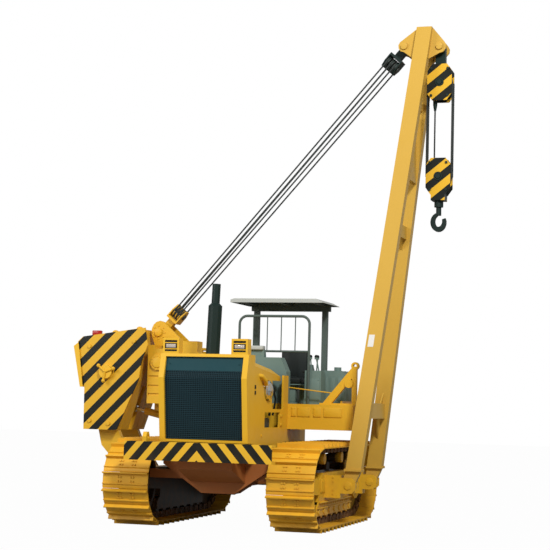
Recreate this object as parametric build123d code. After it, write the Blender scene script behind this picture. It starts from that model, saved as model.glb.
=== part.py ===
from build123d import *
import math
import os

os.makedirs("parts", exist_ok=True)

# Pipelayer. Millimetres, +Z up, front towards -Y, the boom on the +X side.
# Everything is drawn with the centre plane at x = 0 and the ground at z = 0,
# then moved so that the origin is the bottom centre of the whole machine.

# Running fits and seats
running_gap = 12.0
side_gap = 8.0
seat_gap = 0.3

# Round parts that repeat or lie hidden are drawn many-sided, with this many sides
wheel_sides = 24
sheave_sides = 20
pin_sides = 16
roller_sides = 12
tube_sides = 8
knob_sides = 6

# Tracks
gauge_half = 1275.0
shoe_width = 720.0
shoe_length = 228.6
wheel_base = 3000.0
pin_radius = 536.77
idler_y = -1595.0
sprocket_y = idler_y + wheel_base
chain_length = 2 * wheel_base + 2 * math.pi * pin_radius
shoe_count = round(chain_length / shoe_length)
shoe_pitch = chain_length / shoe_count
link_below = 50.0
link_above = 46.0
shoe_thickness = 16.0
grouser_height = 56.0
grouser_thickness = 22.0
grouser_setback = 6.0
rib_height = 24.0
rib_width = 30.0
shoe_gap = 12.0
rail_inner = 50.0
rail_outer = 105.0
wheel_z = pin_radius + link_above + shoe_thickness + grouser_height
rail_floor_z = wheel_z - pin_radius + link_below
rail_roof_z = wheel_z + pin_radius - link_below

# Track wheels
idler_tread_radius = 468.0
idler_flange_radius = 490.0
idler_dish_radius = 390.0
idler_web_half = 55.0
idler_hub_radius = 150.0
idler_hub_half = 118.0
idler_axle_radius = 60.0
sprocket_root_radius = 496.0
sprocket_tip_radius = 540.0
sprocket_teeth = 15
sprocket_width = 80.0
drive_case_radius = 330.0
drive_case_inner_x = 700.0
drive_neck_radius = 190.0
drive_drum_radius = 300.0
drive_drum_reach = 130.0
drive_cap_reach = 190.0
roller_radius = 105.0
roller_half = 112.0
roller_shaft_radius = 40.0
roller_count = 7
carrier_radius = 85.0
carrier_shaft_radius = 36.0

# Track frames
frame_half_width = 150.0
frame_low_z = 420.0
frame_top_z = 850.0
frame_front_y = idler_y + 515.0
frame_back_y = sprocket_y - 560.0
roller_step_y = (frame_back_y - frame_front_y) / (roller_count - 1)
roller_first_y = frame_front_y
carrier_ys = (idler_y + 975.0, sprocket_y - 925.0)
frame_chamfer = 120.0
fork_reach = 130.0
fork_root_half = 130.0
fork_tip_half = 95.0
guard_front_y = frame_front_y - 120.0
guard_rear_y = frame_back_y + 120.0
guard_low_z = 212.0
guard_corner_z = 330.0
guard_thickness = 20.0
carrier_arm_thickness = 30.0
carrier_arm_foot = 110.0
carrier_arm_head = 55.0
carrier_arm_short = 45.0

# Main frame
body_half_width = 430.0
body_front_y = -2300.0
body_back_y = 1700.0
body_low_z = 640.0
body_nose_z = 900.0
body_nose_y = -1500.0
body_top_z = 1130.0
pivot_y = sprocket_y - 645.0
pivot_z = 640.0
pivot_radius = 95.0
pan_low_half = 260.0
pan_top_half = 880.0
pan_low_z = 520.0
pan_side_z = 940.0
pan_top_z = 1010.0
pan_front_y = idler_y - 45.0
pan_back_y = pan_front_y + 310.0
equalizer_half_depth = 75.0
equalizer_y = idler_y + 110.0
equalizer_height = 130.0
saddle_length = 560.0
saddle_thickness = 40.0

# Cross-beams over the tracks
left_beam_end_x = gauge_half + 425.0
beam_front_y = -150.0
beam_back_y = 700.0
beam_low_z = 1490.0
beam_leg_width = 180.0
beam_leg_low_z = 1000.0
beam_leg_top_z = 1600.0
winch_floor_z = 1880.0
winch_plate = 40.0
winch_left_x = -gauge_half - 385.0
winch_right_x = winch_left_x + 1000.0
winch_front_y = -400.0
winch_back_y = 640.0
leg_front_y = -140.0
gusset_inner_z = 1360.0
gusset_outer_z = 1740.0
ear_gap_half = 68.0
ear_thickness = 30.0
ear_half_height = 80.0

# Bumper and tow hook
bumper_half_width = gauge_half - frame_half_width
bumper_front_y = -2650.0
bumper_back_y = -2440.0
bumper_low_z = 1020.0
bumper_top_z = 1290.0
bumper_wall = 30.0
bumper_arm_x = 300.0
bumper_arm_width = 100.0
bumper_arm_drop = 165.0
tow_hook_x = 310.0 - bumper_half_width
tow_hook_y = bumper_front_y + 90.0
tow_hook_half = 30.0
tow_hook_height = 140.0
tow_hook_eye = 30.0

# Radiator guard and grille
guard_half_width = 680.0
guard_rim = 82.0
guard_sill = 35.0
guard_header = 45.0
guard_low = 1295.0
guard_kink = 2230.0
guard_top = 2585.0
guard_low_y = -2370.0
guard_kink_y = -2500.0
guard_top_y = -2410.0
guard_back_y = -2100.0
guard_foot_half = 380.0
grille_recess = 45.0
grille_depth = 30.0
grille_frame = 36.0
grille_bars = 22
grille_bar_width = 16.0
strip_low_z = 2335.0

# Head lamps
lamp_width = 250.0
lamp_height = 225.0
lamp_depth = 170.0
lamp_x = 530.0
lamp_rim = 30.0
lamp_recess = 60.0
lamp_lens_radius = 62.0

# Hood, engine and side panels
hood_half_width = 560.0
hood_flat_half = 400.0
hood_slope = 110.0
hood_sheet = 12.0
hood_back_y = -330.0
hood_front_z = 2580.0
hood_back_z = 2420.0
hood_skirt_z = 2240.0
stack_hole_radius = 125.0
panel_half_width = 640.0
panel_thickness = 30.0
panel_low_z = 1150.0
panel_back_z = 2330.0
panel_front_z = 2440.0
panel_back_y = -150.0
panel_ledge = 40.0
window_front_y = -1050.0
window_back_y = -420.0
window_low_z = 1800.0
hatch_front_y = -1420.0
hatch_back_y = -600.0
hatch_low_z = 1520.0
hatch_top_z = 1750.0
intake_y = -1300.0
intake_z = 2080.0
intake_radius = 150.0
intake_wall = 32.0
intake_depth = 125.0
intake_cone_radius = 60.0
intake_duct_radius = 110.0
engine_half_width = 330.0
engine_front_y = -2050.0
engine_back_y = -420.0
engine_top_z = 2200.0
exhaust_x = -258.0
exhaust_y = -1300.0
exhaust_low_z = 2510.0
exhaust_lean = 1.8
exhaust_pipe_radius = 84.0
muffler_radius = 106.0
muffler_length = 850.0
muffler_shoulder = 40.0
tail_radius = 64.0
tail_bore_radius = 54.0
tail_length = 1190.0

# Operator's place
floor_z = 1890.0
floor_thickness = 40.0
deck_back_y = 1750.0
deck_right_x = -640.0
step_front_y = 1300.0
step_x = 1100.0
toe_board_x = 1400.0
toe_board_height = 60.0
station_x = 280.0
cowl_half_width = 600.0
cowl_back_y = 90.0
cowl_shoulder_z = 2400.0
cowl_top_z = 2620.0
cowl_slope = 100.0
panel_head_x0 = -180.0
panel_head_x1 = 220.0
panel_head_height = 120.0
canopy_half_width = 790.0
canopy_front_y = 300.0
canopy_back_y = 1380.0
canopy_top_z = 3590.0
canopy_rim = 62.0
canopy_sheet = 25.0
canopy_slope = 130.0
canopy_rib_width = 60.0
post_spacing = 1190.0
post_y = 1180.0
post_size = 90.0
post_foot = 180.0
post_foot_thickness = 25.0
rail_y = 205.0
rail_top_z = 3300.0
rail_half_width = 590.0
rail_tube = 22.0
rail_bend = 130.0
rail_cross_z = 2730.0
rail_rod = 9.0
seat_x = 400.0
seat_half_width = 250.0
seat_front_y = 560.0
seat_back_y = 1130.0
seat_pan_z = 2200.0
seat_top_z = 2330.0
seat_back_top_z = 2780.0
console_x0 = 800.0
console_x1 = 1070.0
console_y0 = 240.0
console_y1 = 540.0
console_top_z = 2430.0
lever_top_z = 2640.0
lever_radius = 11.0
knob_radius = 28.0
lever_places = ((890.0, 320.0, -15.0), (1010.0, 320.0, -40.0), (950.0, 410.0, 20.0))
fuel_x0 = 975.0
fuel_x1 = 1390.0
fuel_y0 = 600.0
fuel_y1 = 1280.0
fuel_top_z = 2440.0
fuel_chamfer = 80.0
cap_radius = 60.0
cap_height = 60.0
rear_tank_x0 = -620.0
rear_tank_x1 = 560.0
rear_tank_y = 1330.0
rear_tank_top_z = 2560.0
rear_tank_chamfer = 90.0

# Boom: hinged low on the outer side of the left track frame
boom_y = 80.0
boom_pin_x = gauge_half + 515.0
boom_pin_z = 665.0
boom_pin_radius = 42.0
boom_foot_spread = 1480.0
boom_head_spread = 460.0
leg_width = 240.0
leg_depth = 180.0
leg_low_z = 900.0
boom_top_z = 7870.0
leg_foot_x = boom_pin_x + 48.0
leg_foot_z = boom_pin_z + 55.0
leg_head_x = leg_foot_x + 834.0
leg_head_z = boom_top_z - 530.0
eye_radius = 105.0
eye_width = 110.0
foot_flange = 14.0
foot_flange_lip = 15.0
lug_thickness = 40.0
lug_radius = 118.0
cross_plates = (
    (leg_low_z + 790.0, 240.0, 120.0),
    (boom_top_z - 3310.0, 200.0, 100.0),
    (boom_top_z - 1270.0, 120.0, 100.0),
)
web_low_z = boom_top_z - 2420.0
web_top_z = web_low_z + 1050.0
web_half = 40.0
head_gap_half = 150.0
head_plate = 36.0
head_pin_radius = 42.0
tie_radius = 60.0
tie_z = boom_top_z - 110.0

# Rope gear, all in the boom's middle plane
luff_pin_x = leg_head_x - 272.0
luff_pin_z = leg_head_z + 250.0
tower_pin_x = winch_left_x + 60.0
tower_pin_z = 3000.0
hoist_pin_x = leg_head_x + 293.0
hoist_pin_z = leg_head_z + 230.0
block_eye_radius = 78.0
rope_radius = 14.0
luff_sheave_radius = 105.0
luff_sheave_width = 44.0
low_block_reach = 430.0
low_block_lane = 55.0
high_block_reach = 350.0
high_block_lane = 72.0
cheek_thickness = 20.0
cheek_half = 118.0
shank_half = 60.0
hoist_sheave_radius = 185.0
hoist_sheave_width = 44.0
hoist_lane = 62.0
hoist_cheek_half = 195.0
hoist_cheek_height = 290.0
hoist_cheek_corner = 110.0
hoist_cheek_inner = 100.0
hoist_cheek = 24.0
hoist_drop = 560.0
hook_block_z = hoist_pin_z - 2060.0
yoke_half = 110.0
yoke_drop = 90.0
hook_swivel_z = hook_block_z - 430.0
hook_centre_z = hook_swivel_z - 290.0
hook_outer = (123.0, 150.0)
hook_inner = (60.0, 88.0)
hook_thickness = 84.0
hook_shank_radius = 42.0
hook_collar_radius = 72.0

# Winches and their tower
housing_front_y = -400.0
housing_plate_y = -150.0
housing_rear_y = 600.0
housing_top_z = 2720.0
housing_right_z = 2560.0
housing_slot_zs = (1985.0, 2120.0, 2270.0)
housing_slot_half = 18.0
cover_x = winch_left_x + 180.0
cover_z = 2500.0
cover_radius = 130.0
drum_places = ((winch_left_x + 270.0, 2430.0, 170.0), (winch_left_x + 750.0, 2150.0, 180.0))
drum_flange = 65.0
drum_flange_thickness = 30.0
drum_flange_inset = 30.0
tower_gap_half = 140.0
tower_plate = 40.0
tower_low_z = 2780.0

# Counterweight and its cylinder
weight_front_y = -560.0
weight_back_y = 740.0
weight_plate = 30.0
weight_low_z = 1400.0
weight_pin_x = -gauge_half - 515.0
weight_pin_z = 665.0
weight_arm_ys = (-340.0, 500.0)
weight_slab_ys = (-330.0, -100.0, 130.0, 360.0, 590.0)
weight_groove = 30.0
weight_eye_x = weight_pin_x - 270.0
weight_eye_z = 1760.0
weight_slot_half = 80.0
cylinder_y = 80.0
cylinder_pin_x = -beam_leg_width - body_half_width - 350.0
cylinder_pin_z = 1510.0
cylinder_pin_radius = 32.0
cylinder_eye_half = 35.0
cylinder_eye_radius = 70.0
barrel_radius = 60.0
rod_radius = 34.0
barrel_start = 55.0
barrel_short = 210.0
rod_start = 130.0

# Drawbar
drawbar_half = 160.0
drawbar_end_y = 2150.0
drawbar_pin_y = 2050.0
drawbar_pin_radius = 40.0
drawbar_low_z = 700.0
drawbar_thickness = 80.0
drawbar_root = 100.0


def block(x0, x1, y0, y1, z0, z1):
    centre = Pos((x0 + x1) / 2, (y0 + y1) / 2, (z0 + z1) / 2)
    return centre * Box(abs(x1 - x0), abs(y1 - y0), abs(z1 - z0))


def rod_y(y0, y1, x, z, radius):
    """A true cylinder along Y, for the bores that pins turn in."""
    return Pos(x, (y0 + y1) / 2, z) * Rot(90, 0, 0) * Cylinder(radius, abs(y1 - y0))


def rod_z(z0, z1, x, y, radius):
    return Pos(x, y, (z0 + z1) / 2) * Cylinder(radius, abs(z1 - z0))


def disc_x(x0, x1, y, z, radius, sides):
    """A many-sided disc or bar along X, a corner pointing straight up."""
    low, high = sorted((x0, x1))
    plane = Plane(origin=(low, y, z), x_dir=(0, 0, 1), z_dir=(1, 0, 0))
    return extrude(plane * RegularPolygon(radius, sides), amount=high - low)


def disc_y(y0, y1, x, z, radius, sides):
    """A many-sided disc or bar along Y."""
    low, high = sorted((y0, y1))
    plane = Plane(origin=(x, low, z), x_dir=(0, 0, 1), z_dir=(0, 1, 0))
    return extrude(plane * RegularPolygon(radius, sides), amount=high - low)


def disc_z(z0, z1, x, y, radius, sides):
    low, high = sorted((z0, z1))
    plane = Plane(origin=(x, y, low), x_dir=(1, 0, 0), z_dir=(0, 0, 1))
    return extrude(plane * RegularPolygon(radius, sides), amount=high - low)


def plate_xz(points, y0, y1):
    """A flat shape drawn as (x, z) points, as thick as y0 to y1."""
    face = make_face(Polyline(*points, close=True))
    plane = Plane(origin=(0, y1, 0), x_dir=(1, 0, 0), z_dir=(0, -1, 0))
    return extrude(plane * face, amount=y1 - y0)


def plate_yz(points, x0, x1):
    """A flat shape drawn as (y, z) points, as thick as x0 to x1."""
    face = make_face(Polyline(*points, close=True))
    plane = Plane(origin=(x0, 0, 0), x_dir=(0, 1, 0), z_dir=(1, 0, 0))
    return extrude(plane * face, amount=x1 - x0)


def bar(start, end, radius, sides):
    """A many-sided bar from one point to the other."""
    start = Vector(*start)
    run = Vector(*end) - start
    plane = Plane(origin=start, z_dir=run)
    return extrude(plane * RegularPolygon(radius, sides), amount=run.length)


def arc(centre, radii, first, last, count):
    """Points on an oval arc, from the first to the last angle in degrees."""
    turns = [math.radians(first + (last - first) * n / (count - 1)) for n in range(count)]
    return [(centre[0] + radii[0] * math.cos(t), centre[1] + radii[1] * math.sin(t)) for t in turns]


def joined(shapes):
    return shapes[0].fuse(*shapes[1:]) if len(shapes) > 1 else shapes[0]


def pin_points():
    """Where the chain's pins lie round the loop, as (y, z)."""
    half_turn = math.pi * pin_radius
    points = []
    for number in range(shoe_count):
        run = (number + 0.5) * shoe_pitch
        if run < wheel_base:
            points.append((sprocket_y - run, wheel_z - pin_radius))
            continue
        run -= wheel_base
        if run < half_turn:
            turn = run / pin_radius
            y = idler_y - pin_radius * math.sin(turn)
            points.append((y, wheel_z - pin_radius * math.cos(turn)))
            continue
        run -= half_turn
        if run < wheel_base:
            points.append((idler_y + run, wheel_z + pin_radius))
            continue
        turn = (run - wheel_base) / pin_radius
        y = sprocket_y + pin_radius * math.sin(turn)
        points.append((y, wheel_z + pin_radius * math.cos(turn)))
    return points


def link_frames():
    """Middle, direction and outward normal of each link, as (y, z) pairs."""
    points = pin_points()
    frames = []
    for start, end in zip(points, points[1:] + points[:1]):
        length = math.dist(start, end)
        along = ((end[0] - start[0]) / length, (end[1] - start[1]) / length)
        outward = (along[1], -along[0])
        middle = ((start[0] + end[0]) / 2, (start[1] + end[1]) / 2)
        to_centre = (idler_y + wheel_base / 2 - middle[0], wheel_z - middle[1])
        if outward[0] * to_centre[0] + outward[1] * to_centre[1] > 0:
            outward = (-outward[0], -outward[1])
        frames.append((middle, along, outward))
    return frames


def meeting(first, second, height):
    """Where two neighbouring links' faces at this height meet."""
    (m1, a1, o1), (m2, a2, o2) = first, second
    p1 = (m1[0] + o1[0] * height, m1[1] + o1[1] * height)
    p2 = (m2[0] + o2[0] * height, m2[1] + o2[1] * height)
    cross = a1[0] * a2[1] - a1[1] * a2[0]
    if abs(cross) < 1e-6:
        return ((p1[0] + p2[0]) / 2, (p1[1] + p2[1]) / 2)
    step = ((p2[0] - p1[0]) * a2[1] - (p2[1] - p1[1]) * a2[0]) / cross
    return (p1[0] + a1[0] * step, p1[1] + a1[1] * step)


def shoe_profile():
    """Side view of a shoe, as (along, outwards) points from the link's middle."""
    half = (shoe_pitch - shoe_gap) / 2
    low = link_above
    face = link_above + shoe_thickness
    tip = face + grouser_height
    nose = half - grouser_setback
    return (
        (-half, low),
        (half, low),
        (half, face),
        (nose, tip),
        (nose - grouser_thickness, tip),
        (nose - grouser_thickness - grouser_setback, face),
        (-half + 2 * rib_width, face),
        (-half + 1.5 * rib_width, face + rib_height),
        (-half + rib_width, face),
        (-half, face),
    )


def track(side):
    """One closed track: two chain rails with every shoe fixed on them."""
    centre = side * gauge_half
    frames = link_frames()
    pairs = list(zip(frames, frames[1:] + frames[:1]))
    outside = [meeting(a, b, link_above) for a, b in pairs]
    inside = [meeting(a, b, -link_below) for a, b in pairs]
    parts = []
    for inner, outer in ((-rail_outer, -rail_inner), (rail_inner, rail_outer)):
        ring = plate_yz(outside, centre + inner, centre + outer)
        parts.append(ring - plate_yz(inside, centre + inner - 1, centre + outer + 1))
    x0 = centre - shoe_width / 2
    for middle, along, outward in frames:
        points = []
        for s, h in shoe_profile():
            y = middle[0] + along[0] * s + outward[0] * h
            z = middle[1] + along[1] * s + outward[1] * h
            points.append((y, z))
        parts.append(plate_yz(points, x0, x0 + shoe_width))
    return joined(parts)


def track_frame(side):
    """Box beam between the wheels, with its idler fork and roller guards."""
    centre = side * gauge_half
    beam_outline = (
        (frame_front_y, frame_low_z),
        (frame_back_y, frame_low_z),
        (frame_back_y, frame_top_z - frame_chamfer),
        (frame_back_y - frame_chamfer, frame_top_z),
        (frame_front_y + 2 * frame_chamfer, frame_top_z),
        (frame_front_y, frame_top_z - frame_chamfer),
    )
    guard_outline_yz = (
        (guard_front_y, guard_low_z),
        (guard_rear_y, guard_low_z),
        (guard_rear_y, guard_corner_z),
        (frame_back_y, frame_low_z),
        (frame_front_y, frame_low_z),
        (guard_front_y, guard_corner_z),
    )
    fork_outline = (
        (frame_front_y, wheel_z - fork_root_half),
        (frame_front_y, wheel_z + fork_root_half),
        (idler_y - fork_reach, wheel_z + fork_tip_half),
        (idler_y - fork_reach, wheel_z - fork_tip_half),
    )
    seat = idler_axle_radius + seat_gap
    parts = [plate_yz(beam_outline, centre - frame_half_width, centre + frame_half_width)]
    for edge in (-1, 1):
        x0, x1 = sorted(
            (centre + edge * (frame_half_width - guard_thickness), centre + edge * frame_half_width)
        )
        parts.append(plate_yz(guard_outline_yz, x0, x1))
        tip = idler_y - fork_reach
        guide = block(x0 - 1, x1 + 1, tip - 1, idler_y + seat, wheel_z - seat, wheel_z + seat)
        parts.append(plate_yz(fork_outline, x0, x1) - guide)
    for y in carrier_ys:
        head_z = rail_roof_z - carrier_radius + carrier_arm_short
        arm_outline = (
            (y - carrier_arm_foot, frame_top_z - 1),
            (y + carrier_arm_foot, frame_top_z - 1),
            (y + carrier_arm_head, head_z),
            (y - carrier_arm_head, head_z),
        )
        near = centre - side * frame_half_width
        x0, x1 = sorted((near, near + side * carrier_arm_thickness))
        parts.append(plate_yz(arm_outline, x0, x1))
    return joined(parts)


def idler(side):
    """Front wheel: a dished tread under the rails, a flange between them."""
    centre = side * gauge_half

    def disc(half, radius, sides):
        return disc_x(centre - half, centre + half, idler_y, wheel_z, radius, sides)

    wheel = disc(rail_outer, idler_tread_radius, wheel_sides)
    wheel = wheel + disc(rail_inner - side_gap, idler_flange_radius, wheel_sides)
    for edge in (-1, 1):
        near = centre + edge * idler_web_half
        far = centre + edge * 2 * rail_outer
        wheel = wheel - disc_x(near, far, idler_y, wheel_z, idler_dish_radius, wheel_sides)
    hub = disc(idler_hub_half, idler_hub_radius, pin_sides)
    axle = disc(frame_half_width, idler_axle_radius, roller_sides)
    return joined([wheel, hub, axle])


def sprocket(side):
    """Toothed rear wheel with the final drive's case on its inner side."""
    centre = side * gauge_half
    points = []
    pitch = 2 * math.pi / sprocket_teeth
    tooth_shape = (
        (-0.28, sprocket_root_radius),
        (-0.13, sprocket_tip_radius),
        (0.13, sprocket_tip_radius),
        (0.28, sprocket_root_radius),
    )
    for tooth in range(sprocket_teeth):
        for turn, radius in tooth_shape:
            angle = (tooth + turn) * pitch
            points.append((sprocket_y + radius * math.cos(angle), wheel_z + radius * math.sin(angle)))
    half = sprocket_width / 2

    def disc(x0, x1, radius):
        return disc_x(x0, x1, sprocket_y, wheel_z, radius, wheel_sides)

    return joined(
        [
            plate_yz(points, centre - half, centre + half),
            disc(side * drive_case_inner_x, centre, drive_case_radius),
            disc(side * body_half_width, side * drive_case_inner_x, drive_neck_radius),
            disc(centre, centre + side * drive_drum_reach, drive_drum_radius),
            disc(centre, centre + side * drive_cap_reach, drive_neck_radius),
        ]
    )


def roller(centre, y, z):
    """Track roller on its shaft between the two guards."""
    reach = frame_half_width - guard_thickness - seat_gap
    body = disc_x(centre - roller_half, centre + roller_half, y, z, roller_radius, roller_sides)
    shaft = disc_x(centre - reach, centre + reach, y, z, roller_shaft_radius, knob_sides)
    return body + shaft


def carrier(side, y):
    """Small wheel under the top run, on a shaft from its arm."""
    centre = side * gauge_half
    z = rail_roof_z - seat_gap - carrier_radius
    body = disc_x(centre - roller_half, centre + roller_half, y, z, carrier_radius, roller_sides)
    shaft_end = centre - side * (frame_half_width - carrier_arm_thickness - seat_gap)
    return body + disc_x(centre, shaft_end, y, z, carrier_shaft_radius, knob_sides)


def rollers():
    wheels = []
    z = rail_floor_z + seat_gap + roller_radius
    for side in (-1, 1):
        for number in range(roller_count):
            wheels.append(roller(side * gauge_half, roller_first_y + number * roller_step_y, z))
        for y in carrier_ys:
            wheels.append(carrier(side, y))
    return wheels


def main_frame():
    """Belly box with the pivot shaft, equalizer and pan that carry the tracks."""
    half = body_half_width
    body = plate_yz(
        (
            (body_front_y, body_nose_z),
            (body_front_y, body_top_z),
            (body_back_y, body_top_z),
            (body_back_y, body_low_z),
            (body_nose_y, body_low_z),
        ),
        -half,
        half,
    )
    reach = gauge_half - frame_half_width
    pan = plate_xz(
        (
            (-pan_low_half, pan_low_z),
            (pan_low_half, pan_low_z),
            (pan_top_half, pan_side_z),
            (pan_top_half, pan_top_z),
            (-pan_top_half, pan_top_z),
            (-pan_top_half, pan_side_z),
        ),
        pan_front_y,
        pan_back_y,
    )
    pivot = disc_x(-reach, reach, pivot_y, pivot_z, pivot_radius, roller_sides)
    bar_low_z = frame_top_z - equalizer_height
    y0, y1 = equalizer_y - equalizer_half_depth, equalizer_y + equalizer_half_depth
    parts = [body, pivot, pan, block(-reach, reach, y0, y1, bar_low_z, frame_top_z)]
    for side in (-1, 1):
        saddle = (
            (y0, bar_low_z),
            (y0 + saddle_length, bar_low_z),
            (y0 + saddle_length, bar_low_z + equalizer_height / 2),
            (y0, frame_top_z),
        )
        x0, x1 = sorted((side * (reach - saddle_thickness), side * reach))
        parts.append(plate_yz(saddle, x0, x1))
    return joined(parts)


def side_frames():
    """Cross-beams over both tracks that carry the deck, stop and winches."""
    half = body_half_width
    left = joined(
        [
            block(half, left_beam_end_x, beam_front_y, beam_back_y, beam_low_z, floor_z - floor_thickness),
            block(half, half + beam_leg_width, leg_front_y, beam_back_y, beam_leg_low_z, beam_leg_top_z),
        ]
    )
    inner = -half - beam_leg_width
    under = winch_floor_z - winch_plate
    right = [
        block(winch_left_x, winch_right_x, winch_front_y, winch_back_y, under, winch_floor_z),
        block(winch_right_x, -half, leg_front_y, winch_back_y, under, winch_floor_z),
        block(inner, -half, leg_front_y, winch_back_y, beam_leg_low_z, under),
    ]
    gusset = (
        (inner, gusset_inner_z),
        (inner, under),
        (winch_left_x + winch_plate, under),
        (winch_left_x + winch_plate, gusset_outer_z),
    )
    for y in (leg_front_y, winch_back_y - winch_plate):
        right.append(plate_xz(gusset, y, y + winch_plate))
    ear = (
        (inner, cylinder_pin_z - 1.4 * ear_half_height),
        (inner, cylinder_pin_z + ear_half_height),
        (cylinder_pin_x, cylinder_pin_z + ear_half_height),
        (cylinder_pin_x - ear_half_height, cylinder_pin_z),
        (cylinder_pin_x, cylinder_pin_z - ear_half_height),
    )
    reach = ear_gap_half + ear_thickness
    for edge in (-1, 1):
        y0, y1 = sorted((cylinder_y + edge * ear_gap_half, cylinder_y + edge * reach))
        right.append(plate_xz(ear, y0, y1))
    y0, y1 = cylinder_y - reach, cylinder_y + reach
    right.append(disc_y(y0, y1, cylinder_pin_x, cylinder_pin_z, cylinder_pin_radius, pin_sides))
    return [left, joined(right)]


def rear_case():
    """Transmission case and frame top that the deck stands on."""
    top = floor_z - floor_thickness
    outline = (
        (leg_front_y, body_top_z),
        (body_back_y, body_top_z),
        (body_back_y, top - beam_leg_width),
        (body_back_y - beam_leg_width, top),
        (leg_front_y, top),
    )
    return plate_yz(outline, -body_half_width, body_half_width)


def front_bumper():
    """Channel cross-beam carried on two arms from the main frame."""
    web_y = bumper_front_y + bumper_wall
    profile = (
        (bumper_front_y, bumper_low_z),
        (bumper_back_y, bumper_low_z),
        (bumper_back_y, bumper_low_z + bumper_wall),
        (web_y, bumper_low_z + bumper_wall),
        (web_y, bumper_top_z - bumper_wall),
        (bumper_back_y, bumper_top_z - bumper_wall),
        (bumper_back_y, bumper_top_z),
        (bumper_front_y, bumper_top_z),
    )
    parts = [plate_yz(profile, -bumper_half_width, bumper_half_width)]
    for side in (-1, 1):
        x0, x1 = sorted((side * bumper_arm_x, side * (bumper_arm_x + bumper_arm_width)))
        arm_top = bumper_top_z - bumper_arm_drop
        parts.append(block(x0, x1, bumper_front_y + 1, body_front_y, bumper_low_z, arm_top))
    return joined(parts)


def tow_hook():
    """Bent hook plate on the bumper's top."""
    x, y, z = tow_hook_x, tow_hook_y, bumper_top_z
    tall = tow_hook_height
    outline = (
        (y - tall / 2, z),
        (y + tall / 2, z),
        (y + tall / 2, z + 0.45 * tall),
        (y + tall / 5, z + tall),
        (y - tall / 3, z + tall),
        (y - 0.6 * tall, z + tall / 2),
    )
    plate = plate_yz(outline, x - tow_hook_half, x + tow_hook_half)
    eye = disc_x(x - tow_hook_half - 1, x + tow_hook_half + 1, y, z + tall / 2, tow_hook_eye, roller_sides)
    return plate - eye


def guard_front(z, shift=0.0):
    """How far forward the radiator guard reaches at this height."""
    if z <= guard_kink:
        share = (z - guard_low) / (guard_kink - guard_low)
        return guard_low_y + share * (guard_kink_y - guard_low_y) + shift
    share = (z - guard_kink) / (guard_top - guard_kink)
    return guard_kink_y + share * (guard_top_y - guard_kink_y) + shift


def guard_side(shift, low, top, back):
    """Side view between two heights, from the kinked front to a straight back."""
    zs = [low] + ([guard_kink] if low < guard_kink < top else []) + [top]
    return [(guard_front(z, shift), z) for z in zs] + [(back, top), (back, low)]


def guard_strip(shift, depth, low, top):
    """Side view of a sheet that follows the guard's kinked front."""
    zs = [low] + ([guard_kink] if low < guard_kink < top else []) + [top]
    front = [(guard_front(z, shift), z) for z in zs]
    return front + [(y + depth, z) for y, z in reversed(front)]


def radiator_guard():
    """Heavy frame round the grille."""
    half = guard_half_width
    low, top = guard_low + guard_sill, guard_top - guard_header
    shell = plate_yz(guard_side(0, guard_low, guard_top, guard_back_y), -half, half)
    opening = plate_yz(
        guard_side(-guard_rim, low, top, guard_back_y - guard_rim), -half + guard_rim, half - guard_rim
    )
    hollow = half - guard_sill
    rear = block(-hollow, hollow, guard_back_y - guard_rim - 1, guard_back_y + 1, low, top)
    foot = block(-guard_foot_half, guard_foot_half, body_front_y, guard_back_y, body_top_z, guard_low + 1)
    return shell - opening - rear + foot


def grille():
    """Upright bars in a frame behind the guard's opening, a plain strip on top."""
    half = guard_half_width - guard_rim - seat_gap
    low = guard_low + guard_sill + seat_gap
    top = guard_top - guard_header - seat_gap
    frame = plate_yz(guard_strip(grille_recess, grille_depth, low, top), -half, half)
    window = guard_strip(grille_recess - grille_depth, 3 * grille_depth, low + grille_frame, strip_low_z)
    frame = frame - plate_yz(window, -half + grille_frame, half - grille_frame)
    bars = []
    clear = half - grille_frame
    bar_side = guard_strip(grille_recess + 2, grille_depth - 4, low + grille_frame / 2, strip_low_z + 2)
    for number in range(grille_bars):
        x = -clear + (number + 0.5) * 2 * clear / grille_bars
        bars.append(plate_yz(bar_side, x - grille_bar_width / 2, x + grille_bar_width / 2))
    return joined([frame] + bars)


def headlamps():
    """Two lamp boxes on the guard's top, each open to the front."""
    lamps = []
    y0 = guard_top_y + seat_gap
    z0 = guard_top
    for side in (-1, 1):
        x = side * lamp_x
        half = lamp_width / 2
        case = block(x - half, x + half, y0, y0 + lamp_depth, z0, z0 + lamp_height)
        mouth = block(
            x - half + lamp_rim,
            x + half - lamp_rim,
            y0 - 1,
            y0 + lamp_recess,
            z0 + lamp_rim,
            z0 + lamp_height - lamp_rim,
        )
        z = z0 + lamp_height / 2
        lens = disc_y(y0 + lamp_recess / 2, y0 + lamp_recess + 1, x, z, lamp_lens_radius, pin_sides)
        lamps.append(case - mouth + lens)
    return lamps


def hood():
    """Engine hood: a folded sheet from the guard back to the dashboard."""

    def section(y, top, inset):
        half = hood_half_width - inset
        flat = hood_flat_half - inset
        low = hood_skirt_z - (1 if inset else 0)
        points = [
            (-half, low),
            (half, low),
            (half, top - hood_slope - inset),
            (flat, top - inset),
            (-flat, top - inset),
            (-half, top - hood_slope - inset),
        ]
        face = make_face(Polyline(*points, close=True))
        return Plane(origin=(0, y, 0), x_dir=(1, 0, 0), z_dir=(0, -1, 0)) * face

    front_y = guard_back_y
    outer = loft([section(front_y, hood_front_z, 0), section(hood_back_y, hood_back_z, 0)])
    inner = loft(
        [section(front_y - 1, hood_front_z, hood_sheet), section(hood_back_y + 1, hood_back_z, hood_sheet)]
    )
    z0, z1 = hood_back_z - hood_slope, hood_front_z + hood_slope
    hole = disc_z(z0, z1, exhaust_x, exhaust_y, stack_hole_radius, pin_sides)
    return outer - inner - hole


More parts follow.
